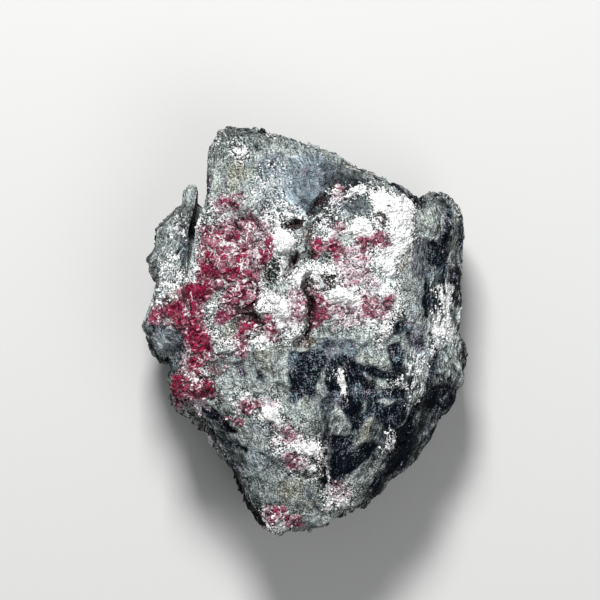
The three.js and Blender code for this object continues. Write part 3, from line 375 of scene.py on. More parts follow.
            (-12.4, 2.6)]),
        (0.75, [(-13, 0.4), (-12.4, -0.6), (-10, -0.9), (-8.6, -0.2), (-8.4, -0.9), (-10.4, -1.7),
            (-12.6, -1.4)]),
        (1, [(-8.9, 1.9), (-8.1, 1.9), (-7.4, 0.5), (-8.2, 0.4)]),
        (0.8, [(-14, 20.6), (-12.6, 21.4), (-12.4, 20.4), (-13.6, 19.8)]),
        (0.62, [(-2.4, 14.6), (-1.4, 15.4), (-1.2, 13.4), (-2.2, 11.6), (-3.4, 10.4), (-3.4, 12)]),
        (0.6, [(14.2, 22.6), (15.4, 23.2), (16.4, 22), (15.6, 20.6), (14.6, 21)]),
        (0.7, [(2, 25.6), (4.4, 27), (4.8, 26.2), (2.6, 24.8)]),
        (0.7, [(-7.6, 13.6), (-6.8, 13.8), (-6.6, 10.6), (-7.6, 10.8)]),
        (0.62, [(-10.2, 5.4), (-9.4, 7.6), (-9.2, 10), (-8.8, 8), (-9.2, 5)]),
        (0.7, [(-20.6, -9), (-18.4, -8.8), (-17.6, -10.4), (-20.2, -10.6)]),
        (0.6, [(-23.8, -6.6), (-23, -6.6), (-23.4, -8.6), (-24, -8.4)]),
    ],
    "olive": [
        (0.8, [(-15.2, 26.6), (-15, 32), (-13.6, 34), (-11.4, 34), (-10.6, 30), (-11.6, 27)]),
        (0.8, [(-17.4, -0.2), (-15.4, 1.8), (-13.2, 1), (-12.8, -2), (-14.6, -3.6), (-17, -3)]),
        (0.75, [(-18, 8.6), (-16, 8.8), (-15.4, 6), (-17.4, 5.6)]),
        (0.62, [(-9.6, -3), (-6, -3.2), (-5.8, -8), (-9, -8)]),
        (0.75, [(3.6, 13.8), (7.6, 14), (7.6, 9), (4.4, 8.4), (3.6, 11)]),
        (0.95, [(12, -17.5), (13.4, -16.7), (13.8, -18.4), (13, -20.4), (12.4, -22), (11.2, -23.8),
            (10.3, -22.6), (10.4, -21.4), (11.4, -19.6)]),
        (0.75, [(-4.4, -29), (0, -29), (0, -33), (-4, -33.4)]),
        (0.55, [(-12, -19), (-7, -19.6), (-6.4, -23), (-11, -22.6)]),
    ],
    "blue": [
        (0.8, [(-3, 34), (2, 35), (5.6, 33), (5, 28), (3, 25), (1.6, 22.8), (-3, 22.6), (-5, 25),
            (-4, 31)]),
        (0.62, [(-9, 34), (-4, 35), (-3, 23), (-9, 23)]),
        (0.62, [(5, 31), (12, 29), (12.6, 23), (6, 23)]),
        (0.7, [(21.6, 17.6), (25, 17.6), (27, 12), (27, 4), (24, 3), (23, 10), (21.6, 11)]),
        (0.62, [(-28.6, 1.4), (-24.4, 0.6), (-23.4, -7), (-26, -8.4), (-28, -3)]),
        (0.6, [(-25.6, -5.6), (-24.6, -5.6), (-24.4, -8), (-25.6, -8.2)]),
        (0.75, [(14, -19.8), (16.4, -20), (16.6, -22.4), (15, -22.6), (13.8, -21)]),
        (0.62, [(20.6, -3), (30, -0.6), (25, -12), (20, -16)]),
        (0.6, [(8, 21.6), (2, 21.6), (1.8, 17), (4, 14.4), (7, 18.6)]),
        (0.55, [(-10, -17), (-5.6, -19), (-7, -30), (-11, -28)]),
    ],
    "brown": [
        (0.7, [(-26.2, 2.4), (-23.2, 2.4), (-23.2, 0.2), (-24.6, -0.4), (-25.6, 1)]),
        (0.6, [(-30, 4.8), (-26.8, 4.8), (-26.6, 2.2), (-29.8, 2.4)]),
        (0.75, [(-1.8, -1.6), (0.6, -1), (2.2, -1.4), (1.8, -3.2), (-1, -3.4)]),
        (0.7, [(0.4, 9.8), (2.8, 9.8), (3.4, 7.4), (2.4, 5.6), (1.2, 7)]),
        (0.7, [(-13.8, 3.8), (-9.2, 4.8), (-8.4, 2), (-9, 0), (-12.4, -0.2), (-13.6, 1.6)]),
        (0.66, [(0.4, 20), (2, 20.4), (2, 17.8), (0.6, 17.4)]),
        (0.62, [(-3, 14.4), (-1, 17), (-0.6, 15), (-3, 11.4), (-4, 11)]),
        (0.66, [(14.2, 23), (16.4, 22), (16.4, 20.6), (14.6, 20.8)]),
        (0.6, [(18.6, 15.2), (21, 15.6), (21.4, 13), (19, 12)]),
        (0.6, [(-16.6, 18), (-14.2, 18.2), (-14.2, 15), (-16, 15)]),
    ],
}

# How far a mineral's stain fades out beyond its areas, in millimetres, where it isn't 5.
FADE = {"red": 3, "slate": 3}

# Grey skin left standing inside the dark areas.
SKIN = [
    [(14, -9.3), (15.6, -9.1), (17, -10.6), (19.6, -10.8), (19.2, -11.6), (16, -11.3), (14.2, -11.5)],
    [(5.8, -13.8), (7, -14.3), (8, -16), (9, -18.4), (9, -20), (7, -20.3), (5.6, -20), (5.4, -17)],
    [(11.1, -15.8), (11.9, -13.5), (12.5, -13.7), (11.9, -15.7)],
    [(14, -13.7), (16, -13.1), (18.4, -13.6), (16, -14.5)],
    [(11.2, -7.6), (12, -7.8), (14, -10), (13.2, -10.2)],
    [(14, -20), (16, -20), (16.2, -22), (15, -22.2), (14, -21)],
    [(22, 25), (24, 24), (26.2, 25.4), (26.6, 24), (26, 18.6), (22, 18), (21.6, 21)],
    [(19.8, 10), (23.4, 9.6), (23.3, 4), (20.4, 3), (19.6, 6)],
    [(22.8, -16), (23.8, -16), (23, -21.4), (22.2, -20)],
    [(25, 11.6), (26.8, 11.8), (27, 8.6), (25.2, 8.8)],
]

# Thin white veins: (half width, the points each runs through).
VEINS = [
    (0.35, [(3.6, 7.4), (4.6, 6), (6.4, 5.3), (9, 5.2), (11.4, 5.9), (13.4, 6.7)]),
    (-0.04, [(4.5, -6), (4.3, -12), (4.5, -20), (5, -30)]),
    (0.1, [(4.4, -25), (4.7, -29), (5.2, -34)]),
    (0.3, [(-17, 10), (-14, 9.2), (-11.6, 9.6), (-10, 10.8)]),
    (0.25, [(-17.4, 14.6), (-15, 14.2), (-12.8, 15.4), (-10.6, 15)]),
    (0.25, [(-12.4, 12), (-11.8, 14.6), (-12, 17.6)]),
    (0.25, [(-18.6, 17), (-16, 17.4), (-13.6, 16.8)]),
    (0.3, [(10.8, 2.2), (12.4, 1.3), (14.4, 1.6)]),
    (0.25, [(-19.6, 9.8), (-17.6, 9.4), (-16, 9.8)]),
]

# Slow changes of tone over the grey skin: (x, y, half length, half width, turn in degrees, change).
# Partly the rock's own patchy tone and partly painted light. The darker ovals on the steep lower right, near
# (27, -14), (22, -24), (24, -18) and (17, -22.6), are painted shade where those slopes turn from the light.
# The lighter ovals near (17, 20) and (19, 18), on the white band at the right, are painted light on facets
# turned from the lamp.
TONE_AND_SHADE = [
    (-9, 31, 9, 8, -20, 0.04), (-2, 31, 3, 6, 0, 0.18), (13, -2.5, 5, 4, 0, 0.12),
    (28.5, -0.5, 3.6, 5, 0, 0.06), (-5, -30, 9, 9, 0, -0.06), (10, -31, 7, 5, 30, -0.06),
    (-16, -20, 6, 7, 50, -0.08), (-20, -14, 5, 4, 0, 0.02), (27, -14, 5, 5, 0, -0.2),
    (22, -24, 4, 7, 30, -0.26), (-13, -33, 4, 6, 30, -0.14),
    (15, -31, 4, 3, 30, -0.2), (-22.4, 27, 1.6, 2.4, 0, 0.2), (0, 12, 4, 5, 0, 0.2),
    (9.5, 18.6, 4, 2.5, 0, 0.4), (16, 6, 3, 5, 0, 0.32), (12, 2.5, 4, 1.6, 0, 0.26),
    (28, 6, 2.2, 4, 0, -0.04), (24, 0.5, 5, 2.5, 0, 0.14), (6, -3, 5, 2.4, 0, 0.16),
    (-10, -14.6, 5, 3, 0, 0.16), (-7, -27, 4, 2, 0, 0.16), (-3.4, 24, 3, 2, 0, 0.14),
    (17, 20, 3, 5, 0, 0.3), (-12, 22.6, 4, 2.4, 0, 0.3), (17, -22.6, 4, 6, 60, -0.3),
    (24, -18, 3.4, 6, 60, -0.14), (-26, 18, 3, 6, 0, 0.06), (-26.6, -9, 1.5, 5, 0, -0.2),
    (26, 26, 5, 2, 0, -0.1), (27.6, 19, 1.6, 5, 0, -0.06), (24, 6, 1, 4, 0, -0.2),
    (3.4, 22.6, 3, 2, -30, -0.3), (14, 28.4, 6, 1.6, -25, -0.16), (-14, -18, 4.4, 1.4, -48, -0.14),
    (-8.4, -37, 1.6, 4, 30, -0.2), (-5.6, 11.6, 1.8, 2.4, 0, -0.45), (-24.6, 12, 4, 3, 0, 0.02),
    (-8, 19, 2, 2, 0, 0.12), (20, 15, 2, 3, 0, 0.14), (7.4, 28.6, 4, 2, -15, -0.26),
    (-2, 6, 3.4, 5, 0, 0.3), (-9.4, 14, 2.4, 5, 0, 0.24), (14, 11, 4, 3, 0, 0.28), (-9, -4, 4, 4, 0, 0.06),
    (-15, -6, 2, 8, 10, 0.14), (-3, -6, 1.6, 2, 0, 0.24), (3.4, -37, 2.4, 1.4, 0, 0.26),
    (8, -32, 2, 2, 0, 0.16), (-2, -21.4, 4, 1.4, 0, 0.16), (-9, 26, 4, 4, 0, 0.14),
    (18.4, 2.6, 1.6, 2, 0, -0.3), (19, -9.6, 3, 3.4, 0, -0.34), (-4, 16, 3, 1.6, 0, 0.2),
    (4.6, -28, 1.8, 5, 0, -0.3), (-7, 38, 5, 1.4, -10, -0.08), (-14, 37.5, 6, 3.4, 0, -0.1),
    (30.4, 9, 1.4, 4, 0, -0.3), (-27, -1, 2.4, 3, 0, 0.3), (-24.6, -6, 1.4, 2.6, 0, -0.1),
    (-4, 20, 2, 1.4, 0, -0.3), (-12, -22, 3, 4, 40, 0.12), (7.4, -17, 2, 3, 0, 0.1),
    (-14, 22, 2, 2, 0, 0.1), (-17, 28, 1.6, 2.6, 0, 0.2), (-1, 3, 3, 2, 0, 0.16),
    (-5, 17.4, 3, 1.8, 0, 0.2), (10, 18.8, 5, 1.6, 0, 0.3), (3, 16, 3, 1.4, 0, 0.2),
    (2.4, 28.5, 1.4, 4, 0, 0.34), (6.6, -11.4, 1.2, 3, 0, 0.3), (2, -5, 5, 2.4, 20, 0.14),
    (11, -11.5, 2.4, 1.4, 0, 0.24), (3.4, -22, 1.6, 8, 0, -0.2), (23, 0.6, 2.4, 1.2, 0, 0.2),
    (-20, 12, 1.4, 6, 0, 0.06), (-27, -3, 1.6, 4, 20, 0.2), (12, 2.6, 2, 1, 0, 0.1),
    (22, -9, 2.4, 5, 0, 0.2), (17, 5.6, 2, 1.4, 0, 0.3), (17, 1, 1.6, 1.4, 0, -0.3),
    (22.4, 25.4, 1.6, 1.6, 0, -0.3), (-17, -1, 2.4, 2.4, 0, -0.12), (11, -14.6, 4, 2, 0, -0.2),
    (8, -28, 2, 2, 0, 0.1), (-14, 24.6, 3, 2, 0, 0.24), (-6, 16.6, 2, 1.4, 0, 0.24),
    (-1.6, 15.4, 2, 1.2, 0, 0.24), (-9, 12.6, 1.6, 1.6, 0, 0.2), (0, 10.6, 1.6, 1.4, 0, 0.3),
    (-26, 6, 2.6, 2, 0, 0.14), (10, -25, 4, 3, 0, -0.1), (15.6, -12, 3, 3, 0, 0.1),
    (-24, 21, 2, 4, 0, -0.1), (11, -8.4, 4, 3, 0, -0.14), (19, 18, 2, 6, 0, 0.16), (-5, 4, 3, 4, 0, 0.12),
    (26.2, -17, 6, 1.1, 59, 0.3), (19.6, -27.4, 5, 1.1, 48, 0.3), (23.4, -17.4, 5, 0.8, 62, -0.2),
    (18, -26, 3.6, 0.8, 52, -0.2), (24, 21, 2, 3.4, 0, 0.08),
]

# The outline's middle and half-width in x, by y.
WIDTHS = [(-40, -2, 7), (-30, 2, 15), (-20, 3.5, 23), (0, 0, 31), (20, 3, 29), (40, -4, 24)]

# Where the sides fall away from the face and show the layers' edges, painted dark with shade as well: (y, x)
# to the right and to the left.
RIGHT_SIDE = [(-34, 9), (-25, 16), (-15, 18.6), (-8, 17), (0, 18.4), (10, 20.4), (26, 21.6)]
LEFT_SIDE = [(-38, -7), (-28, -11), (-20, -14.5), (-16, -19), (-14, -30)]

# ---------------------------------------------------------------- noise and small helpers

CHANCE = np.random.default_rng(20417)
ORDER = CHANCE.permutation(256)
SLOPES = CHANCE.normal(size=(256, 3))
SLOPES /= np.linalg.norm(SLOPES, axis=1, keepdims=True)
SEED_STEP = 11.7  # how far apart in the lattice two seeds lie
AXIS_STEP = 0.37  # keeps the three axes' lattice planes from meeting at the middle
LUMP_GAIN = 1.6  # brings the noise up to about -1 to 1


def eased(low, high, value):
    """0 below low, 1 above high, and the cubic 3t^2 - 2t^3 between them."""
    t = np.clip((value - low) / (high - low), 0, 1)
    return t * t * (3 - 2 * t)


def soft_max(a, b, width):
    """The larger of two, rounded where they meet: (a + b + the hypotenuse of a - b and the width) / 2."""
    return (a + b + np.hypot(a - b, width)) / 2


def soft_min(a, b, width):
    """The smaller of two, rounded where they meet."""
    return -soft_max(-a, -b, width)


def cell_corner(x, y, z):
    """A whole number from 0 to 255 for each lattice corner, the same each time."""
    return ORDER[(ORDER[(ORDER[x & 255] + y) & 255] + z) & 255]


def lumps(x, y, z, size, seed=0):
    """Gradient noise, about -1 to 1: a random slope at each corner of a lattice, eased together."""
    axes = enumerate(np.broadcast_arrays(x, y, z))
    place = [np.asarray(v, float) / size + SEED_STEP * seed + AXIS_STEP * k for k, v in axes]
    cell = [np.floor(v).astype(np.int64) for v in place]
    part = [v - c for v, c in zip(place, cell)]
    ease = [p**3 * (p * (p * 6 - 15) + 10) for p in part]
    total = 0
    for corner in itertools.product((0, 1), repeat=3):
        slope = SLOPES[cell_corner(*(c + k for c, k in zip(cell, corner)))]
        weight = 1
        height = 0
        for axis, k in enumerate(corner):
            weight = weight * (ease[axis] if k else 1 - ease[axis])
            height = height + slope[..., axis] * (part[axis] - k)
        total = total + weight * height
    return total * LUMP_GAIN


def heap(x, y, z, size, octaves, seed=0):
    """Lumps of a size, plus half as high ones of half the size, and so on."""
    return sum(lumps(x, y, z, size / 2**k, seed + k) / 2**k for k in range(octaves))


def to_segment(x, y, a, b):
    """Distance to the segment from a to b, and how far along it the nearest point is."""
    dx, dy = b[0] - a[0], b[1] - a[1]
    along = np.clip(((x - a[0]) * dx + (y - a[1]) * dy) / (dx * dx + dy * dy), 0, 1)
    return np.hypot(x - a[0] - along * dx, y - a[1] - along * dy), along


def to_path(x, y, points):
    """Distance to an open path."""
    return np.min([to_segment(x, y, a, b)[0] for a, b in zip(points, points[1:])], axis=0)


def to_outline(x, y, points):
    """Signed distance to a closed outline, below zero inside."""
    nearest = np.full(np.shape(x), np.inf)
    inside = np.zeros(np.shape(x), bool)
    for a, b in zip(points, points[1:] + points[:1]):
        nearest = np.minimum(nearest, to_segment(x, y, a, b)[0])
        if a[1] != b[1]:
            inside ^= ((a[1] > y) != (b[1] > y)) & (x < a[0] + (y - a[1]) * (b[0] - a[0]) / (b[1] - a[1]))
    return np.where(inside, -nearest, nearest)


def in_oval(x, y, oval):
    """Squared distance from an oval's middle, 1 on its edge."""
    cx, cy, half_length, half_width, turn = oval
    c, s = math.cos(math.radians(turn)), math.sin(math.radians(turn))
    along = ((x - cx) * c + (y - cy) * s) / half_length
    across = (-(x - cx) * s + (y - cy) * c) / half_width
    return along * along + across * across


def share_of(x, y, areas, fade):
    """Share of a mineral: a half on an area's edge, rising inwards to the area's own, fading outwards."""
    share = np.zeros(np.shape(x))
    for full, outline in areas:
        depth = -to_outline(x, y, outline)
        share = np.maximum(share, np.clip(0.5 + np.where(depth > 0, depth, depth / fade), 0, full))
    return share


class Plan:
    """A quantity worked out on a fine grid seen from above, and read between its points by weighing four."""

    STEP = 0.15
    LOW = (-37.0, -45.0)
    HIGH = (37.0, 45.0)

    def __init__(self, rule):
        across = np.arange(self.LOW[0], self.HIGH[0], self.STEP)
        along = np.arange(self.LOW[1], self.HIGH[1], self.STEP)
        self.values = rule(*np.meshgrid(across, along))

    def at(self, x, y):
        rows, columns = self.values.shape
        u = np.clip((x - self.LOW[0]) / self.STEP, 0, columns - 1.001)
        v = np.clip((y - self.LOW[1]) / self.STEP, 0, rows - 1.001)
        i, j = u.astype(int), v.astype(int)
        s, t = u - i, v - j
        a, b = self.values[j, i], self.values[j, i + 1]
        c, d = self.values[j + 1, i], self.values[j + 1, i + 1]
        return (a * (1 - s) + b * s) * (1 - t) + (c * (1 - s) + d * s) * t


# ---------------------------------------------------------------- minerals and upper face, seen from above


def warped(x, y, amount, size, seed):
    """The place moved sideways by lumps, so that an area's edge wanders like a natural one."""
    return x + amount * heap(x, y, 3.1, size, 3, seed), y + amount * heap(x, y, 8.4, size, 3, seed + 5)


def mineral_rule(name, seed):
    """The share of a mineral over the face, from its warped areas; slate and white leave bare skin free."""

    def rule(x, y):
        wx, wy = warped(x, y, 0.7, 3, seed)
        share = share_of(wx, wy, AREAS[name], FADE.get(name, 5))
        return np.minimum(share, 1 - BARE.at(wx, wy)) if name in ("slate", "white") else share

    return rule


BARE = Plan(lambda x, y: share_of(x, y, [(1, outline) for outline in SKIN], 2))
MINERALS = {name: Plan(mineral_rule(name, 20 + 7 * k)) for k, name in enumerate(AREAS)}
EDGE = Plan(lambda x, y: to_outline(x, y, OUTLINE))


def vein_rule(x, y):
    """Distance outside the nearest vein, below zero inside it."""
    wx, wy = warped(x, y, 0.5, 2, 61)
    return np.min([to_path(wx, wy, points) - half for half, points in VEINS], axis=0)


VEIN = Plan(vein_rule)


def chips(x, y, size, tilt, seed):
    """Flat flakes: each place takes the tilted plane of the nearest scattered centre, blended at joins."""
    cx, cy = x / size, y / size
    ix, iy = np.floor(cx).astype(np.int64), np.floor(cy).astype(np.int64)
    total = np.zeros(np.shape(x))
    weights = np.full(np.shape(x), 1e-9)
    for dx, dy in itertools.product((-1, 0, 1), repeat=2):
        slope = SLOPES[cell_corner(ix + dx, iy + dy, seed)]
        px = ix + dx + 0.5 + 0.45 * slope[..., 2]
        py = iy + dy + 0.5 + 0.45 * np.sin(slope[..., 0] * 9)
        weight = np.exp(-9 * ((cx - px) ** 2 + (cy - py) ** 2))
        total += weight * ((cx - px) * slope[..., 0] + (cy - py) * slope[..., 1]) * size * tilt
        weights += weight
    return total / weights


def terraces(value, height):
    """Treads and risers: whole steps of this height, with a steep rise between level treads."""
    level = value / height
    tread = np.floor(level)
    return (tread + eased(0.38, 0.62, level - tread)) * height


def split_at(y):
    """Where the split's middle lies, half its width, and the height of its floor, by y."""
    xs, ys, halves = zip(*SPLIT[::-1])
    (root_y, root_floor), (mouth_y, mouth_floor) = SPLIT_ROOT, SPLIT_MOUTH
    floor = root_floor + (mouth_floor - root_floor) * np.minimum((y - root_y) / (mouth_y - root_y), 1)
    return np.interp(y, ys, xs), np.interp(y, ys, halves), floor


# How a mineral raises or sinks the face: (mineral, share where it starts, share where it is full, height).
CRUST_RELIEF = [
    ("red", 0.35, 0.6, 0.35), ("white", 0.4, 0.65, 0.4), ("slate", 0.4, 0.6, -0.45), ("shaded_pit", 0.4, 0.8, -0.8),
]


def upper_face(x, y):
    """Height of the upper face: facets, swellings, flakes, layer steps, cracks, and the crusts' relief."""
    planes = [at[2] + (x - at[0]) * rise[0] + (y - at[1]) * rise[1] for at, rise in FACETS]
    z = planes[0]
    for plane in planes[1:]:
        z = soft_min(z, plane, 0.7)
    for *oval, height in RELIEF:
        z = z + height * np.maximum(0, 1 - in_oval(x, y, oval)) ** 2
    z = z + chips(x, y, 7.5, 0.16, 3) + chips(x, y, 3.4, 0.2, 9)
    rough = heap(x, y, 2.2, 9, 4, 31)
    z = z + 0.5 * terraces(rough * 1.9, 0.75) + 0.35 * rough
    for name, low, high, height in CRUST_RELIEF:
        z = z + height * eased(low, high, MINERALS[name].at(x, y))
    wx, wy = warped(x, y, 0.45, 1.8, 61)
    for half, depth, points in CRACKS:
        z = z - depth * (1 - eased(0, half, to_path(wx, wy, points)))
    left = 1 - eased(-0.8, 0.4, x - split_at(y)[0])
    return z - LEAF_DROP * left * eased(LEAF_ROOT_Y, SPLIT_MOUTH[0], y) ** 0.8


FACE = Plan(upper_face)

# ---------------------------------------------------------------- the block

# The search along each sight line: coarse steps, then fine ones over a stretch, in millimetres, that starts
# this far before the first meeting, then halvings.
COARSE_STEPS = 56
FINE_STEPS = 16
HALVINGS = 9
SEARCH_BEFORE = 3.2
SEARCH_LENGTH = 4.4

# The middles that the sight lines close in on.
BLOCK_MIDDLE = (0, 0, WAIST)
LEAF_MIDDLE = (-24.2, 19.5, 25)


def ledges(x, y, z, table):
    """Relief of the layers' edges: a saw-tooth in height that drifts slowly round the block."""
    total = 0
    for spacing, depth, drift_x, drift_y, phase in table:
        level = z / spacing + phase + drift_x * x + drift_y * y + 0.35 * np.sin(0.21 * x - 0.17 * y + phase)
        total = total + depth * (level - np.floor(level) - 0.5)
    return total


def stone(place, fine, leaf):
    """Below zero inside the block, or inside its leaf, and above zero outside, roughly a distance.

    The block stops at the split wherever it is above the split's floor, and the leaf takes over beyond it.
    Fine adds the small layers and chips.
    """
    x, y, z = place.T
    turn = np.degrees(np.arctan2(y, x))
    up, down = np.clip((z - WAIST) / (RIM - WAIST), 0, 1), np.clip((WAIST - z) / WAIST, 0, 1)
    inset = np.interp(turn, *zip(*UPPER_INSET), period=360) * up**1.9
    inset = inset + np.interp(turn, *zip(*LOWER_INSET), period=360) * down**1.7
    share = np.clip(np.minimum(up * 4, 1) + np.minimum(down * 2, 1), 0, 1)
    wall = EDGE.at(x, y) + inset + ledges(x, y, z, LEDGES) * share
    if fine:
        swing = heap(x, y, z * 2.4, 7, 3, 71)
        wall = wall + 0.75 * swing * (0.35 + 0.65 * share)
        wall = wall + ledges(x, y, z + 1.6 * swing, FINE_LEDGES) * (0.4 + 0.6 * share)
    solid = np.maximum(soft_max(wall, z - FACE.at(x, y), 0.7 if fine else 1.1), -z)
    middle, half, floor = split_at(y)
    if leaf:
        return np.maximum(np.maximum(solid, x - middle + half), (floor - LEAF_SINK - z) / 2)
    return np.maximum(solid, np.minimum(middle + half - x, (z - floor) / 2))


def outline_radius(outline, centre):
    """An outline's reach from a centre at each whole degree, averaged over eleven degrees."""
    angle = np.radians(np.arange(360) + 0.01)
    cx, cy = np.cos(angle), np.sin(angle)
    points = np.array(outline) - centre
    reach = np.zeros(360)
    for a, b in zip(points, np.roll(points, -1, 0)):
        ex, ey = b - a
        cross = cx * ey - cy * ex
        along = (a[0] * cy - a[1] * cx) / cross
        hit = (a[0] * ey - a[1] * ex) / cross
        reach = np.where((along >= 0) & (along <= 1) & (hit > reach), hit, reach)
    return sum(np.roll(reach, k) for k in range(-5, 6)) / 11


def sight_lines(cells, rows, outline, centre, margin, core, above, below, rise):
    """Lines that reach in at a body from all round it towards its core, and the quads that join them.

    They start at the outline times the margin, this far above and below the centre, and end at the outline
    times the core, up to the rise above and below it.
    Across the upper and the lower face a square grid is drawn out to a disc: u becomes u sqrt(1 - v^2 / 2)
    and v becomes v sqrt(1 - u^2 / 2). The walls are rows of lines between the two discs' borders.
    """
    reach = outline_radius(outline, centre[:2])
    t = np.linspace(-1, 1, cells + 1)
    u, v = np.meshgrid(t, t)
    dx, dy = u * np.sqrt(1 - v * v / 2), v * np.sqrt(1 - u * u / 2)
    share, angle = np.hypot(dx, dy), np.arctan2(dy, dx)
    grid = np.arange((cells + 1) ** 2).reshape(cells + 1, cells + 1)
    border = np.concatenate([grid[0, :-1], grid[:-1, -1], grid[-1, :0:-1], grid[:0:-1, 0]])
    heights = 1 - 2 * np.arange(1, rows) / rows
    ring_angle = np.tile(angle.ravel()[border], rows - 1)
    angle = np.concatenate([angle.ravel(), ring_angle, angle.ravel()])
    share = np.concatenate([share.ravel(), np.ones(ring_angle.size), share.ravel()])
    height = np.concatenate([np.ones(grid.size), np.repeat(heights, border.size), -np.ones(grid.size)])
    radius = share * np.interp(np.degrees(angle), np.arange(360), reach, period=360)
    direction = np.stack([np.cos(angle), np.sin(angle), np.zeros(angle.size)], 1) * radius[:, None]
    outer = centre + direction * margin
    outer[:, 2] += np.where(height > 0, above, below) * height
    inner = centre + direction * core
    inner[:, 2] += rise * height
    rings = grid.size + np.arange((rows - 1) * border.size).reshape(rows - 1, border.size)
    last = grid + grid.size + rings.size
    rings = np.vstack([border, rings, last.ravel()[border]])
    onward = np.roll(rings, -1, 1)
    quads = [
        np.stack([grid[:-1, :-1], grid[:-1, 1:], grid[1:, 1:], grid[1:, :-1]], -1).reshape(-1, 4),
        np.stack([last[:-1, :-1], last[1:, :-1], last[1:, 1:], last[:-1, 1:]], -1).reshape(-1, 4),
        np.stack([rings[:-1], rings[1:], onward[1:], onward[:-1]], -1).reshape(-1, 4),
    ]
    return outer, inner, np.concatenate(quads)


def first_meeting(outer, inner, leaf):
    """Where each line first meets the stone: coarse steps for the plain shape, finer steps, then halving."""
    reach = inner - outer
    length = np.linalg.norm(reach, axis=1)
    share = np.ones(len(outer))
    for k in range(COARSE_STEPS, 0, -1):
        met = stone(outer + reach * (k / COARSE_STEPS), fine=False, leaf=leaf) < 0
        share[met] = k / COARSE_STEPS
    low = np.maximum(share - SEARCH_BEFORE / length, 0)
    window = SEARCH_LENGTH / length
    high = low + window
    for k in range(FINE_STEPS, 0, -1):
        here = low + window * k / FINE_STEPS
        met = stone(outer + reach * here[:, None], fine=True, leaf=leaf) < 0
        high[met] = here[met]
    low = high - window / FINE_STEPS
    for _ in range(HALVINGS):
        middle = (low + high) / 2
        met = stone(outer + reach * middle[:, None], fine=True, leaf=leaf) < 0
        high, low = np.where(met, middle, high), np.where(met, low, middle)
    return outer + reach * high[:, None]


def surface_normals(place, quads):
    """Unit normals at the points: the sum of the crossed diagonals of the quads round each."""
    a, b, c, d = (place[quads[:, k]] for k in range(4))
    cross = np.cross(c - a, d - b)
    total = np.stack(
        [np.bincount(quads.ravel(), np.repeat(cross[:, k], 4), minlength=len(place)) for k in range(3)], 1
    )
    return total / np.maximum(np.linalg.norm(total, axis=1, keepdims=True), 1e-12)


def block_surface(cells, rows, grain):
    """Points, normals and quads of the block and its leaf, which small grains roughen."""
    outer, inner, quads = sight_lines(
        cells, rows, OUTLINE, np.array(BLOCK_MIDDLE), margin=1.07, core=0.66, above=29, below=21, rise=5
    )
    place = first_meeting(outer, inner, leaf=False)
    outer, inner, leaf_quads = sight_lines(
        cells // 3, rows // 2, LEAF_OUTLINE, np.array(LEAF_MIDDLE), margin=1.3, core=0.15, above=18,
        below=22, rise=1,
    )
    quads = np.concatenate([quads, leaf_quads + len(place)])
    place = np.concatenate([place, first_meeting(outer, inner, leaf=True)])
    normal = surface_normals(place, quads)
    x, y, z = place.T
    raised = grain * (heap(x, y, z, 1.7, 2, 83) + 0.5 * lumps(x, y, z, 0.6, 90)) * eased(0.4, 2, z)
    raised = raised * (0.25 + 0.75 * np.abs(normal[:, 2]))
    place = place + normal * raised[:, None]
    place[:, 2] = np.where(z < 0.05, 0, place[:, 2])
    return place, surface_normals(place, quads), quads


def mineral_shares(place):
    """Each mineral's share at every point: its patches from above, and its layers on the walls and below."""
    x, y, z = place.T
    sink = z - FACE.at(x, y)
    above = eased(0.4, 2.2, -EDGE.at(x, y)) * eased(6, 14, z) * eased(-13, -7, sink)
    seen = np.maximum(above, eased(-4, -1, sink))
    layer = lumps(x * 0.14, y * 0.14, z, 2.4, 41) + 0.6 * lumps(x * 0.3, y * 0.3, z * 2, 2.2, 43)
    blot = heap(x, y, z, 9, 3, 47)
    beneath = {
        "red": 0.2 * blot - 0.12,
        "pink": 0.15 + 0.3 * heap(x, y, z, 6, 2, 53),
        "white": 0.14 + 0.32 * layer + 0.2 * blot,
        "slate": 0.36 - 0.45 * layer + 0.3 * heap(x, y, z, 7, 2, 57),
        "olive": 0.3 + 0.4 * heap(x, y, z, 8, 2, 59),
        "blue": 0.3 + 0.4 * heap(x, y, z, 9, 2, 73),
        "brown": 0.2 + 0.4 * heap(x, y, z, 6, 2, 67),
        "shaded_pit": np.zeros(x.shape),
    }
    return {
        name: np.clip(plan.at(x, y) * seen + beneath[name] * (1 - seen), 0, 1)
        for name, plan in MINERALS.items()
    }


def hollows(place):
    """How far a point lies below the face's average within about a millimetre and a half, from -1 to 1: the
    finish paints it as shade in the hollows and as light on the ridges.
    """
    x, y, z = place.T
    around = sum(
        FACE.at(x + r * math.cos(a), y + r * math.sin(a))
        for r in (0.7, 1.5)
        for a in np.linspace(0, math.tau, 8, endpoint=False)
    )
    on_top = eased(1.5, 0.6, np.abs(z - FACE.at(x, y)))
    return np.clip((around / 16 - FACE.at(x, y)) * 2.2, -1, 1) * on_top


def slow_tone_and_shade(place):
    """Slow changes of tone and painted shade and light: those listed for the upper face, and broad drifts of
    tone everywhere else.
    """
    x, y, z = place.T
    listed = sum(change * np.clip(1.6 - in_oval(x, y, oval), 0, 1) for *oval, change in TONE_AND_SHADE)
    return 0.1 * lumps(x, y, z, 11, 101) + listed * eased(2, 14, z) * eased(-12, -6, z - FACE.at(x, y))


def shaded_banding_of(place):
    """How far the layers' edges show, with painted shade, from 0 to 1: on the walls, and where the sides
    fall away.
    """
    x, y, z = place.T
    depth = FACE.at(x, y) - z
    wall = eased(2.5, 6.5, depth) * (1 - 0.4 * eased(6, 14, depth))
    right = eased(0, 4, x - np.interp(y, *zip(*RIGHT_SIDE)))
    left = eased(0, 3, np.interp(y, *zip(*LEFT_SIDE)) - x)
    right = right * eased(-0.7, 0.1, heap(x, y, z, 6, 2, 97)) * (1 - 0.9 * eased(0.2, 0.6, BARE.at(x, y)))
    leaf = (1 - eased(-0.8, 0.4, x - split_at(y)[0])) * eased(6, 12, y)
    return np.maximum(np.maximum(wall, right * 0.85), np.maximum(left * 0.85, leaf * 0.4))


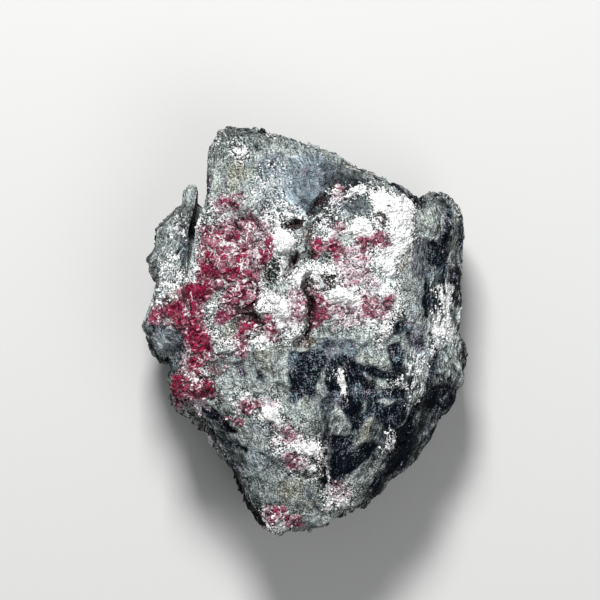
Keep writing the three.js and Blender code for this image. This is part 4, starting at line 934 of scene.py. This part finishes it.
def layering(place):
    """Coordinates of the rock's layers, in millimetres: across them, along them and up.

    On the upper face the layers' traces run from the wide top to the narrow foot: across is x as a share of
    the half-width at that y. Down the walls at either end, which cut across those traces, they give way to
    flat layers that only height crosses.
    """
    x, y, z = place.T
    levels, middles, halves = zip(*WIDTHS)
    across = (x - np.interp(y, levels, middles)) / np.interp(y, levels, halves) * 30
    across = across + 1.3 * heap(x, y, z, 8, 3, 79)
    flat = eased(0, 16, FACE.at(x, y) - z) * y * y / (x * x + y * y + 1)
    return np.stack([across * (1 - 0.9 * flat), 0.14 * y, 0.5 * z], 1)


# ---------------------------------------------------------------- grains

GRAIN_DRIFT = 0.2  # how far a grain may lie from its point, in millimetres
GRAIN_STRETCH = 0.3  # how far each of a grain's three widths may differ from its size


def turned(count, chance):
    """Random turns as matrices, from random unit quaternions."""
    q = chance.normal(size=(count, 4))
    w, x, y, z = (q / np.linalg.norm(q, axis=1, keepdims=True)).T
    return np.array(
        [
            [1 - 2 * (y * y + z * z), 2 * (x * y - z * w), 2 * (x * z + y * w)],
            [2 * (x * y + z * w), 1 - 2 * (x * x + z * z), 2 * (y * z - x * w)],
            [2 * (x * z - y * w), 2 * (y * z + x * w), 1 - 2 * (x * x + y * y)],
        ]
    ).transpose(2, 0, 1)


def rhombohedron():
    """A cube stood on one corner and stretched upwards: its points and faces."""
    corners = np.array(list(itertools.product((-0.5, 0.5), repeat=3)))
    axis = np.ones(3) / math.sqrt(3)
    corners = corners + 0.35 * np.outer(corners @ axis, axis)
    faces = np.array([(0, 1, 3, 2), (4, 6, 7, 5), (0, 4, 5, 1), (2, 3, 7, 6), (0, 2, 6, 4), (1, 5, 7, 3)])
    return corners, faces


def blocky_grain():
    """A cube, each face halved both ways, drawn in to a rounded block: its points and faces."""
    t = np.array([-1.0, 0.0, 1.0])
    points, faces = [], []
    for axis, side in itertools.product(range(3), (-1.0, 1.0)):
        u, v = np.meshgrid(t, t)
        spot = np.zeros((3, 3, 3))
        spot[..., axis] = side
        spot[..., (axis + 1) % 3], spot[..., (axis + 2) % 3] = (u, v) if side > 0 else (v, u)
        base = 9 * len(points)
        k = base + np.arange(9).reshape(3, 3)
        points.append(spot.reshape(-1, 3))
        faces.append(np.stack([k[:-1, :-1], k[:-1, 1:], k[1:, 1:], k[1:, :-1]], -1).reshape(-1, 4))
    points = np.concatenate(points)
    merged, which = np.unique(points, axis=0, return_inverse=True)
    merged = merged / np.linalg.norm(merged, axis=1, keepdims=True) ** 0.75
    return merged * 0.5, which.ravel()[np.concatenate(faces)]


def strewn(weight, count, chance):
    """Numbers of the block's points, drawn by weight, with none near the floor."""
    total = np.cumsum(weight * eased(2, 5, BLOCK["place"][:, 2]))
    if total[-1] <= 0:
        raise RuntimeError("no part of the block has room for these grains")
    return np.searchsorted(total, chance.uniform(0, total[-1], count))


def grain_mesh(shape, pick, size, sink, chance):
    """Points and faces of many grains: the shape turned, scaled and stretched at random, at picked points.

    Each is moved a little along the block's surface and its middle sunk below it.
    """
    points, faces = shape
    count = len(pick)
    normal = BLOCK["normal"][pick]
    place = BLOCK["place"][pick] + np.cross(normal, chance.normal(size=(count, 3))) * GRAIN_DRIFT
    spread = 1 + GRAIN_STRETCH * chance.uniform(-1, 1, (count, 1, 3))
    spots = np.einsum("nij,nvj->nvi", turned(count, chance), points[None] * spread * size[:, None, None])
    spots = spots + (place - normal * (size * sink)[:, None])[:, None, :]
    shift = (np.arange(count) * len(points))[:, None, None]
    return spots.reshape(-1, 3), (faces[None] + shift).reshape(-1, faces.shape[1])


# ---------------------------------------------------------------- meshes and materials in Blender

BLOCK = {}  # the block's points, normals and mineral shares, once it has been made


def piece_from(name, place, faces, material, smooth, replaced):
    """A shown piece of the specimen from points in millimetres and faces, riding on the frame's root."""
    mesh = bpy.data.meshes.new(name)
    mesh.from_pydata(place * MM, [], faces)
    mesh.polygons.foreach_set("use_smooth", np.full(len(faces), smooth))
    mesh.materials.append(material)
    mesh.update()
    piece = bpy.data.objects.new(name, mesh)
    bpy.context.scene.collection.objects.link(piece)
    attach(piece, "root")
    if replaced:
        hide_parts(*replaced)
    return piece


def add_share(mesh, name, values):
    """A number at every point of a mesh, for its material to read."""
    mesh.attributes.new(name, "FLOAT", "POINT").data.foreach_set("value", np.asarray(values, np.float32))


class Wire:
    """A socket of a material's node, for writing shader maths as arithmetic."""

    def __init__(self, finish, socket):
        self.finish = finish
        self.socket = socket

    def _maths(self, operation, a, b):
        return self.finish.node("ShaderNodeMath", {"operation": operation}, {"Value": a, "Value_001": b})

    def __add__(self, other):
        return self._maths("ADD", self, other)

    def __radd__(self, other):
        return self._maths("ADD", other, self)

    def __sub__(self, other):
        return self._maths("SUBTRACT", self, other)

    def __rsub__(self, other):
        return self._maths("SUBTRACT", other, self)

    def __mul__(self, other):
        return self._maths("MULTIPLY", self, other)

    def __rmul__(self, other):
        return self._maths("MULTIPLY", other, self)

    def __pow__(self, other):
        return self._maths("POWER", self, other)

    def __rpow__(self, other):
        return self._maths("POWER", other, self)


class Finish:
    """A material under construction."""

    def __init__(self, name):
        self.material = bpy.data.materials.new(name)
        self.material.use_nodes = True
        self.tree = self.material.node_tree
        self.tree.nodes.clear()

    def node(self, kind, settings=None, sockets=None, output=0):
        """Adds a node: its settings first, then its sockets' values or wires. Gives the wire out of it."""
        node = self.tree.nodes.new(kind)
        for name, value in (settings or {}).items():
            setattr(node, name, value)
        by_name = {s.identifier: s for s in node.inputs}
        for name, value in (sockets or {}).items():
            if isinstance(value, Wire):
                self.tree.links.new(value.socket, by_name[name])
            else:
                by_name[name].default_value = value
        return Wire(self, node.outputs[output]) if node.outputs else None

    def place(self, turn=(0, 0, 0)):
        """Object coordinates, turned."""
        spot = self.node("ShaderNodeTexCoord", output=3)
        return self.node("ShaderNodeMapping", None, {"Vector": spot, "Rotation": turn})

    def share(self, name):
        """A number stored at the mesh's points."""
        return self.node("ShaderNodeAttribute", {"attribute_name": name}, output=2)

    def speckle(self, where, size, detail=2.0, rough=0.55, distortion=0.0):
        """Noise with features of about this many millimetres, spread to fill 0 to 1."""
        sockets = {"Vector": where, "Scale": 1 / (size * MM), "Detail": detail, "Roughness": rough}
        sockets["Distortion"] = distortion
        return self.ramp(self.node("ShaderNodeTexNoise", None, sockets), 0.26, 0.74)

    def cells(self, size, wander=0.9):
        """Lumps about this many millimetres wide: each one's own number, and how far in from its edge.

        The place is moved by a noise of the lumps' own size, so that their edges wander.
        """
        where = self.place(turn=(1.1, 0.5, 0.3))
        scale = 1 / (size * MM)
        sockets = {"Vector": where, "Scale": scale * 1.3, "Detail": 3.0}
        drift = self.node("ShaderNodeTexNoise", None, sockets, 1)
        sockets = {"Vector": drift, "Vector_001": (wander * size * MM,) * 3, "Vector_002": where}
        spot = self.node("ShaderNodeVectorMath", {"operation": "MULTIPLY_ADD"}, sockets)
        sockets = {"Vector": spot, "Scale": scale}
        pick = self.node("ShaderNodeTexVoronoi", {"feature": "F1"}, sockets, 1)
        edge = self.node("ShaderNodeTexVoronoi", {"feature": "DISTANCE_TO_EDGE"}, sockets)
        return self.ramp(pick, 0.2, 0.8), edge

    def marks(self, colour, crust, solid):
        """Dark cracks and white threads along the lumps' edges, alike on every piece, and their relief."""
        where = self.place(turn=(0.4, 0.2, 0.9))
        edge = self.cells(1.9)[1]
        kind = self.speckle(where, 2.2, 3, 0.6)
        open_part = self.ramp(solid, 0, 1, 1.0, 0.15)
        threads = self.ramp(edge, 0.02, 0.06, 1.0, 0.0) * self.ramp(kind + crust * 0.4, 0.8, 1) * open_part
        cracks = self.ramp(edge, 0.03, 0.1, 1.0, 0.0) * self.ramp(kind, 0.35, 0.5, 1.0, 0.0)
        cracks = cracks * crust * (open_part * 0.75 + 0.25)
        colour = self.blend(cracks * 0.85, colour, tint(24, 14, 16))
        colour = self.blend(threads * 0.85, colour, tint(252, 250, 250))
        return colour, self.ramp(edge, 0, 0.25) * crust * 0.7

    def ramp(self, value, low, high, bottom=0.0, top=1.0):
        """Bottom below low, top above high, and straight between them."""
        sockets = {"Value": value, "From Min": low, "From Max": high, "To Min": bottom, "To Max": top}
        return self.node("ShaderNodeMapRange", {"clamp": True}, sockets)

    def blend(self, share, a, b):
        """Colour a where share is 0 and colour b where it is 1."""
        sockets = {"Factor_Float": share, "A_Color": a, "B_Color": b}
        return self.node("ShaderNodeMix", {"data_type": "RGBA"}, sockets, 2)

    def surface(self, sockets, height, depth, strength):
        """A principled surface with a small relief, of a depth in millimetres."""
        bump = {"Strength": strength, "Distance": depth * MM, "Height": height}
        normal = self.node("ShaderNodeBump", None, bump)
        shader = self.node("ShaderNodeBsdfPrincipled", None, {**sockets, "Normal": normal})
        self.node("ShaderNodeOutputMaterial", None, {"Surface": shader})
        return self.material


def tint(r, g, b):
    """A colour given as 0 to 255 on a screen, as the linear colour that a shader takes."""
    linear = [((c / 255 + 0.055) / 1.055) ** 2.4 if c > 10 else c / 255 / 12.92 for c in (r, g, b)]
    return (*linear, 1.0)


def schist_finish(settings):
    """Grey-green layered rock, speckled light and dark, with every mineral stained into it by its share,
    painted shade in its cracks, hollows and falling walls, and painted light on its ridges.
    """
    f = Finish("schist")
    where = f.place()
    third = f.place(turn=(1.1, 0.5, 0.3))
    layers = f.node("ShaderNodeAttribute", {"attribute_name": "layering"}, output=1)
    fine = f.speckle(where, 0.3, 0)
    rough = f.speckle(where, 2.2, 6, 0.85)
    grit = f.speckle(f.place(turn=(0.4, 0.2, 0.9)), 0.8, 3, 0.65)
    blot = f.speckle(third, 3.0, 4, 0.6)
    fibre = f.speckle(layers, 0.32, 2, 0.6, 0.4)
    streak = f.speckle(layers, 0.6, 3, 0.62, 0.5)
    band = f.speckle(layers, 2.4, 4, 0.65, 0.4)
    fray = f.speckle(where, 1.5, 4, 0.66)
    lump, edge = f.cells(2.6)
    other = f.speckle(third, 1.5, 4, 0.66)
    rim = f.cells(0.9)[1]
    # The listed slow tone, with its painted shade on the lower right and painted light on the white band's
    # facets.
    slow = f.share("tone_and_shade")
    red_share, white_share = f.share("red"), f.share("white")
    shaded_banding = f.share("shaded_banding")
    crust = f.ramp(white_share + red_share + f.share("pink"), 0, 0.8) * (1 - shaded_banding * 0.8)
    solid = f.ramp(white_share + f.ramp(red_share, 0.6, 0.9), 0.6, 0.9)

    def mask(name, mix, spread, low=0.5, high=0.6):
        """Where a mineral shows: its share, frayed by a speckle."""
        return f.ramp(f.share(name) + (mix - 0.5) * spread, low, high)

    crumb = f.ramp(crust * 0.8 + blot * 0.4, 0.3, 0.9)
    tone_and_shade = 0.65 + (fine - 0.5) * (crumb * 0.9 + 0.45) + (rough - 0.5) * (crumb * 0.7 + 0.35)
    # Painted shade in the face's small hollows and painted light on its ridges, from their depth.
    tone_and_shade = f.ramp(tone_and_shade + (fibre - 0.5) * 0.6 + (streak - 0.5) * 0.3 + slow - f.share("hollow_shade_and_ridge_light") * 0.2, 0, 1)
    pale = f.blend(blot, settings.cool_skin[:], settings.warm_skin[:])
    skin = f.blend(tone_and_shade**2.0, settings.dark_skin[:], pale)
    blue = f.blend((tone_and_shade * 0.4 + band * 0.4 + streak * 0.5) ** 3.4, tint(4, 14, 22), tint(194, 215, 228))
    skin = f.blend(mask("blue", blot, 0.8, 0.4, 0.8) * 0.85, skin, blue)
    # The walls and the sides that fall away: bands of the layers' edges, near-black at their dark end, which
    # also paint the shade of slopes turned from the light.
    shaded_bands = streak * 1.1 + band * 0.3 + (fibre - 0.5) * 0.9 + (fine - 0.5) * 0.2 + slow
    shaded_bands = f.ramp(shaded_bands, 0.4, 1.0) ** 1.8
    skin = f.blend(shaded_banding, skin, f.blend(shaded_bands, tint(2, 4, 6), tint(207, 215, 213)))
    olive = f.blend(tone_and_shade**1.8, tint(30, 28, 18), tint(222, 216, 192))
    colour = f.blend(mask("olive", blot, 0.8, 0.4, 0.8) * 0.4, skin, olive)
    # Pale flakes in the slate: partly its pale streaks, partly painted glints of its shiny flakes.
    flakes = streak * 0.3 + fibre * 0.4 + fine * 0.4 + (blot - 0.5) * 0.4 + (other - 0.5) * 0.2 + slow * 0.5
    flakes = f.ramp(flakes, 0.5, 0.98) ** 1.5
    slate = f.blend(flakes, settings.slate[:], f.blend(lump, tint(157, 180, 192), tint(190, 184, 198)))
    layered = streak * 0.3 + band * 0.3 + fibre * 0.2 + fine * 0.2
    colour = f.blend(mask("slate", layered, 1.3, 0.44, 0.62), colour, slate)
    brown = f.blend(fine, tint(30, 16, 14), tint(107, 70, 52))
    colour = f.blend(mask("brown", other, 1.0, 0.45, 0.7) * 0.8, colour, brown)
    quartz = f.ramp(grit * 0.3 + fine * 0.6 + white_share * 0.9 + slow, 0.26, 0.8)
    quartz = f.blend(quartz, tint(115, 118, 120), tint(255, 255, 255))
    loose, lined = other * 0.6 + fine * 0.4, streak * 0.4 + band * 0.4 + fibre * 0.2
    loose = loose + (lined - loose) * f.ramp(shaded_banding + f.share("slate") * 0.8, 0, 1)
    colour = f.blend(mask("white", loose, 1.6), colour, quartz)
    film = f.ramp(red_share + (fray - 0.5) * 0.3 + (lump - 0.5) * 0.3, 0.1, 0.42)
    film = film * f.ramp(red_share, 0.05, 0.3) * 0.92
    mauve = f.ramp(fine * 0.4 + grit * 0.35 + lump * 0.25, 0.3, 0.75)
    colour = f.blend(film, colour, f.blend(mauve, tint(70, 22, 38), tint(192, 138, 154)))
    pink = f.blend(f.ramp(fine, 0.1, 0.9), tint(144, 115, 128), tint(254, 242, 248))
    colour = f.blend(mask("pink", fray, 1.1) * 0.85, colour, pink)
    red = f.ramp(fine * 0.4 + grit * 0.4 + lump * 0.2 + f.ramp(edge, 0, 0.15, -0.15, 0), 0.28, 0.7)
    red = f.blend(red, settings.deep_red[:], settings.crimson[:])
    colour = f.blend(mask("red", lump * 0.5 + fray * 0.3 + fine * 0.2, 1.1, 0.54, 0.66), colour, red)
    vein = f.ramp(f.share("vein") + (fine - 0.5) * 0.2, -0.05, 0.08, 0.9, 0.0)
    colour = f.blend(vein, colour, tint(250, 248, 248))
    rims = f.ramp(rim, 0.02, 0.14, 1.0, 0.0) * f.ramp(grit, 0.3, 0.6) * (1 - solid * 0.7)
    colour = f.blend(rims * 0.5, colour, tint(24, 24, 26))
    colour, relief = f.marks(colour, crust, f.ramp(solid + shaded_banding + f.share("slate"), 0, 1))
    # Painted shade in the cracks and pits, from black to a dark red-brown of the rock.
    shaded_pit = mask("shaded_pit", fray * 0.5 + grit * 0.5, 1.2)
    colour = f.blend(shaded_pit * 0.9, colour, f.blend(f.ramp(fine, 0.3, 0.8), tint(4, 0, 0), tint(74, 54, 54)))
    # Painted shade: small near-black specks standing in for the shadows in tiny pits.
    pit_shadow_specks = f.ramp(grit * 0.6 + fray * 0.4 - crust * 0.12 + solid * 0.2 + slow * 0.4, 0.04, 0.16, 1.0, 0.0)
    colour = f.blend(pit_shadow_specks * 0.9, colour, tint(8, 8, 10))
    height = grit * 0.6 + fine * 0.4 + streak * 0.5 + fray * 0.8 + relief
    sockets = {"Base Color": colour, "Roughness": f.ramp(fine, 0, 1, 0.5, 0.9), "IOR": 1.45}
    sockets["Specular IOR Level"] = 0.06
    return f.surface(sockets, height, 0.5, 0.9)


def cinnabar_finish(settings):
    """Crimson crystals, from nearly black red to pink, the palest among them white, with a bright lustre."""
    f = Finish("cinnabar")
    where = f.place()
    grit = f.speckle(f.place(turn=(0.4, 0.2, 0.9)), 0.8, 3, 0.65)
    fine = f.speckle(where, 0.25, 1, 0.5)
    pick = f.share("pick")
    fill = f.share("fill")
    shade = f.ramp(pick * 0.3 + grit * 0.35 + fine * 0.5, 0.4, 0.76)
    colour = f.blend(shade, settings.deep_red[:], settings.crimson[:])
    faint = f.blend(shade, tint(112, 56, 72), settings.pink[:])
    colour = f.blend(f.ramp(fill + (pick - 0.5) * 0.4, 0.56, 0.82), faint, colour)
    white = f.ramp(grit * 0.4 + pick * 0.6 - fill * 1.2, 0.1, 0.2)
    colour = f.blend(white * 0.85, colour, f.blend(fine, tint(111, 89, 96), tint(250, 244, 244)))
    colour, relief = f.marks(colour, 1.0, f.ramp(fill, 0.8, 1.0))
    sockets = {"Base Color": colour, "Roughness": f.ramp(fine, 0, 1, 0.2, 0.5), "IOR": 1.9}
    sockets["Specular IOR Level"] = 0.1
    return f.surface(sockets, fine * 0.4 + relief, 0.4, 0.8)


def quartz_finish(settings):
    """Milky white grains with grey and faint brown specks."""
    f = Finish("quartz")
    where = f.place()
    grit = f.speckle(where, 0.9, 3, 0.6)
    fine = f.speckle(where, 0.25, 1, 0.5)
    fill = f.share("fill")
    shade = f.ramp(grit * 0.3 + fine * 0.5 + fill * 0.8 + f.share("pick") * 0.3, 0.4, 0.95)
    colour = f.blend(shade, tint(117, 120, 122), settings.white[:])
    specks = f.ramp(grit * 0.6 + fine * 0.5 + fill * 0.2, 0.24, 0.38, 0.9, 0.0)
    colour = f.blend(specks, colour, tint(30, 30, 30))
    colour, relief = f.marks(colour, 1.0, f.ramp(fill, 0.75, 0.95))
    sockets = {"Base Color": colour, "Roughness": f.ramp(fine, 0, 1, 0.35, 0.6), "IOR": 1.5}
    sockets["Specular IOR Level"] = 0.25
    return f.surface(sockets, fine * 0.4 + relief, 0.4, 0.8)


# ---------------------------------------------------------------- crusts

CINNABAR_NODES = [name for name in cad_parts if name.startswith("cinnabar_")]
QUARTZ_NODES = [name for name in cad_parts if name.startswith("quartz_")]


def open_share(share, least):
    """How far a mineral's share passes the least, at the block's points that face up, and 0 elsewhere."""
    return np.clip(BLOCK[share] - least, 0, 1) * (BLOCK["normal"][:, 2] > 0.1)


def crust_weight(node, share):
    """Where a crust's grains may lie: within its node's box, weighted by the mineral's share there."""
    low, high = (np.array(corner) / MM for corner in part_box(node))
    middle, half = (low + high) / 2, (high - low) / 2
    x, y, z = BLOCK["place"].T
    q = ((x - middle[0]) / half[0]) ** 2 + ((y - middle[1]) / half[1]) ** 2
    return np.clip(1.3 - q, 0, 1) * (z > low[2] - 2) * open_share(share, 0.3)


def crust_grains(node, size, cover):
    """A crust's usual grain size, at most a third of its width, and how many such grains cover its area."""
    low, high = (np.array(corner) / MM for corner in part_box(node))
    wide, long = (high - low)[:2]
    size = min(size, wide / 3, long / 3)
    return size, max(8, int(math.pi / 4 * wide * long / size**2 * cover))


def grain_piece(name, share, shape, weight, widths, *, sink, material, replaced, seed):
    """A piece of many grains, one for each width drawn, lying where the weight allows, each with its share.

    Sink is how deep a grain's middle lies, as a share of its width.
    """
    chance = np.random.default_rng(seed)
    size = widths(chance)
    pick = strewn(weight, len(size), chance)
    place, faces = grain_mesh(shape, pick, size, sink, chance)
    piece = piece_from(name, place, faces, material, False, replaced)
    each = len(shape[0])
    add_share(piece.data, "fill", np.repeat(BLOCK[share][pick], each))
    add_share(piece.data, "pick", np.repeat(chance.uniform(size=len(pick)), each))


# ---------------------------------------------------------------- settings


def colour_setting(name, description, default):
    """A colour, as red, green, blue and opacity."""
    return FloatVectorProperty(name=name, description=description, subtype="COLOR", size=4, default=default)


def length_setting(name, description, millimetres):
    """A length, given in millimetres and kept in metres."""
    return FloatProperty(
        name=name, description=description, default=millimetres * MM, min=0, precision=5, unit="LENGTH"
    )


class BlockSettings(bpy.types.PropertyGroup):
    cells: IntProperty(name="Cells across", description="Cells across the upper face", default=152, min=20)
    rows: IntProperty(name="Wall rows", description="Rows of cells up the walls", default=60, min=8)
    grain: length_setting("Grain", "Height of the small grains", 0.13)
    warm_skin: colour_setting("Warm skin", "Colour of the rock's olive grey", tint(213, 220, 209))
    cool_skin: colour_setting("Cool skin", "Colour of the rock's blue grey", tint(200, 213, 218))
    dark_skin: colour_setting("Dark skin", "Colour of the rock's dark specks", tint(26, 30, 30))
    slate: colour_setting("Slate", "Colour of the blue-black layers", tint(3, 11, 20))
    deep_red: colour_setting("Deep red", "Darkest cinnabar stain", tint(66, 0, 24))
    crimson: colour_setting("Crimson", "Brightest cinnabar stain", tint(170, 65, 100))


class CinnabarSettings(bpy.types.PropertyGroup):
    size: length_setting("Grain size", "Width of a crust's crystals", 1.3)
    cover: FloatProperty(name="Cover", description="How fully crystals cover a crust", default=0.32, min=0)
    dust: IntProperty(name="Loose grains", description="Crystals outside the crusts", default=1200, min=0)
    deep_red: colour_setting("Deep red", "Colour of the darkest crystals", tint(44, 0, 14))
    crimson: colour_setting("Crimson", "Colour of most crystals", tint(168, 34, 78))
    pink: colour_setting("Pink", "Colour of the palest crystals", tint(202, 146, 163))


class QuartzSettings(bpy.types.PropertyGroup):
    size: length_setting("Grain size", "Width of a mass's grains", 1.1)
    cover: FloatProperty(name="Cover", description="How fully grains cover a mass", default=0.2, min=0)
    dust: IntProperty(name="Loose grains", description="Grains outside the masses", default=1200, min=0)
    white: colour_setting("White", "Colour of the whitest grains", tint(252, 252, 250))


class StageSettings(bpy.types.PropertyGroup):
    floor: colour_setting("Floor", "Colour of the floor", (0.6, 0.6, 0.59, 1))
    sky: colour_setting("Sky", "Colour of the soft light from all round", (0.9, 0.92, 0.95, 1))
    sky_strength: FloatProperty(name="Sky strength", description="Its strength", default=0.24, min=0)
    lens: FloatProperty(
        name="Lens", description="Focal length of the camera", default=300.0, min=1, unit="CAMERA"
    )
    frame_width: length_setting("Frame width", "Width seen at the block's widest height", 120.0)


# ---------------------------------------------------------------- operators

# The stage, in metres: the floor's reach each way, the point that the lamps and the camera face, how far the
# camera sees, and the lamps: (name, place, width, power in watts).
FLOOR_REACH = 3.0
AIM = (-0.0007, 0.0061, WAIST * MM)
CAMERA_REACH = 20.0
LAMPS = [("key", (-0.06, 0.4, 0.56), 0.16, 5.8), ("fill", (0.25, -0.2, 0.65), 0.4, 1.2)]


class SPECIMEN_OT_block(bpy.types.Operator):
    """Make the schist block with its leaf, in place of its node"""

    bl_idname = "specimen.block"
    bl_label = "Schist block"

    def execute(self, context):
        settings = context.scene.specimen_block
        place, normal, quads = block_surface(settings.cells, settings.rows, settings.grain / MM)
        BLOCK.update(place=place, normal=normal, **mineral_shares(place))
        piece = piece_from(
            "schist_block", place, quads, schist_finish(settings), False, ["schist_matrix"]
        )
        for name in MINERALS:
            add_share(piece.data, name, BLOCK[name])
        x, y = place.T[:2]
        add_share(piece.data, "shaded_banding", shaded_banding_of(place))
        add_share(piece.data, "vein", np.clip(VEIN.at(x, y), -1, 1))
        # Depth of the small hollows and ridges, painted in the finish as shade and light.
        add_share(piece.data, "hollow_shade_and_ridge_light", hollows(place))
        add_share(piece.data, "tone_and_shade", slow_tone_and_shade(place))
        layers = piece.data.attributes.new("layering", "FLOAT_VECTOR", "POINT")
        layers.data.foreach_set("vector", (layering(place) * MM).astype(np.float32).ravel())
        return {"FINISHED"}


class SPECIMEN_OT_cinnabar(bpy.types.Operator):
    """Make the cinnabar crusts and the loose crystals round them"""

    bl_idname = "specimen.cinnabar"
    bl_label = "Cinnabar crystals"

    def execute(self, context):
        settings = context.scene.specimen_cinnabar
        material = cinnabar_finish(settings)
        shape = rhombohedron()
        for k, node in enumerate(CINNABAR_NODES):
            size, count = crust_grains(node, settings.size / MM, settings.cover)
            grain_piece(
                node.replace("cinnabar_", "red_"), "red", shape, crust_weight(node, "red"),
                lambda chance: size * (0.5 + 0.8 * chance.uniform(size=count) ** 2), sink=0.25,
                material=material, replaced=[node], seed=300 + k,
            )
        weight = open_share("red", 0.1) ** 1.6 + 0.1 * open_share("pink", 0.2)
        grain_piece(
            "red_loose_grains", "red", shape, weight,
            lambda chance: chance.uniform(0.25, 0.7, settings.dust), sink=0.1,
            material=material, replaced=[], seed=401,
        )
        return {"FINISHED"}


class SPECIMEN_OT_quartz(bpy.types.Operator):
    """Make the quartz masses and the loose grains round them"""

    bl_idname = "specimen.quartz"
    bl_label = "Quartz grains"

    def execute(self, context):
        settings = context.scene.specimen_quartz
        material = quartz_finish(settings)
        shape = blocky_grain()
        for k, node in enumerate(QUARTZ_NODES):
            size, count = crust_grains(node, settings.size / MM, settings.cover)
            grain_piece(
                node.replace("quartz_", "white_"), "white", shape, crust_weight(node, "white"),
                lambda chance: size * (0.5 + chance.uniform(size=count) ** 2), sink=0.32,
                material=material, replaced=[node], seed=500 + k,
            )
        grain_piece(
            "white_loose_grains", "white", shape, open_share("white", 0.3),
            lambda chance: chance.uniform(0.2, 0.6, settings.dust), sink=0.2,
            material=material, replaced=[], seed=601,
        )
        return {"FINISHED"}


class SPECIMEN_OT_stage(bpy.types.Operator):
    """Make the floor, the lights and the camera"""

    bl_idname = "specimen.stage"
    bl_label = "Stage"

    def execute(self, context):
        settings = context.scene.specimen_stage
        scene = context.scene
        mesh = bpy.data.meshes.new("floor")
        corners = [(-1, -1, 0), (1, -1, 0), (1, 1, 0), (-1, 1, 0)]
        mesh.from_pydata(np.array(corners) * FLOOR_REACH, [], [(0, 1, 2, 3)])
        finish = Finish("floor")
        sockets = {"Base Color": settings.floor[:], "Roughness": 0.8}
        shader = finish.node("ShaderNodeBsdfPrincipled", None, sockets)
        finish.node("ShaderNodeOutputMaterial", None, {"Surface": shader})
        mesh.materials.append(finish.material)
        floor = bpy.data.objects.new("floor", mesh)
        scene.collection.objects.link(floor)
        for name, spot, width, power in LAMPS:
            lamp = bpy.data.lights.new(name, "AREA")
            lamp.size = width
            lamp.energy = power
            body = bpy.data.objects.new(name, lamp)
            body.location = spot
            body.rotation_mode = "QUATERNION"
            body.rotation_quaternion = (Vector(AIM) - Vector(spot)).to_track_quat("-Z", "Y")
            scene.collection.objects.link(body)
        world = bpy.data.worlds.new("studio")
        world.use_nodes = True
        sky = world.node_tree.nodes["Background"].inputs
        sky["Color"].default_value = settings.sky[:]
        sky["Strength"].default_value = settings.sky_strength
        scene.world = world
        camera = bpy.data.cameras.new("camera")
        camera.lens = settings.lens
        camera.clip_end = CAMERA_REACH
        distance = settings.frame_width * settings.lens / camera.sensor_width
        body = bpy.data.objects.new("camera", camera)
        body.location = Vector(AIM) + Vector((0, 0, distance))
        scene.collection.objects.link(body)
        scene.camera = body
        scene.view_settings.view_transform = "Standard"
        return {"FINISHED"}


class SPECIMEN_PT_panel(bpy.types.Panel):
    bl_label = "Cinnabar Specimen"
    bl_idname = "SPECIMEN_PT_panel"
    bl_space_type = "VIEW_3D"
    bl_region_type = "UI"
    bl_category = "Specimen"

    def draw(self, context):
        column = self.layout.column(align=True)
        for maker in MAKERS:
            column.operator(maker.bl_idname)


MAKERS = [SPECIMEN_OT_block, SPECIMEN_OT_cinnabar, SPECIMEN_OT_quartz, SPECIMEN_OT_stage]
SETTINGS = {
    "specimen_block": BlockSettings,
    "specimen_cinnabar": CinnabarSettings,
    "specimen_quartz": QuartzSettings,
    "specimen_stage": StageSettings,
}


def register():
    for kind in [*SETTINGS.values(), *MAKERS, SPECIMEN_PT_panel]:
        bpy.utils.register_class(kind)
    for name, kind in SETTINGS.items():
        setattr(bpy.types.Scene, name, PointerProperty(type=kind))


def unregister():
    for name in SETTINGS:
        delattr(bpy.types.Scene, name)
    for kind in reversed([*SETTINGS.values(), *MAKERS, SPECIMEN_PT_panel]):
        bpy.utils.unregister_class(kind)


def main():
    """Registers the add-on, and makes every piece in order."""
    register()
    for maker in ("block", "cinnabar", "quartz", "stage"):
        getattr(bpy.ops.specimen, maker)()


if __name__ == "__main__":
    main()
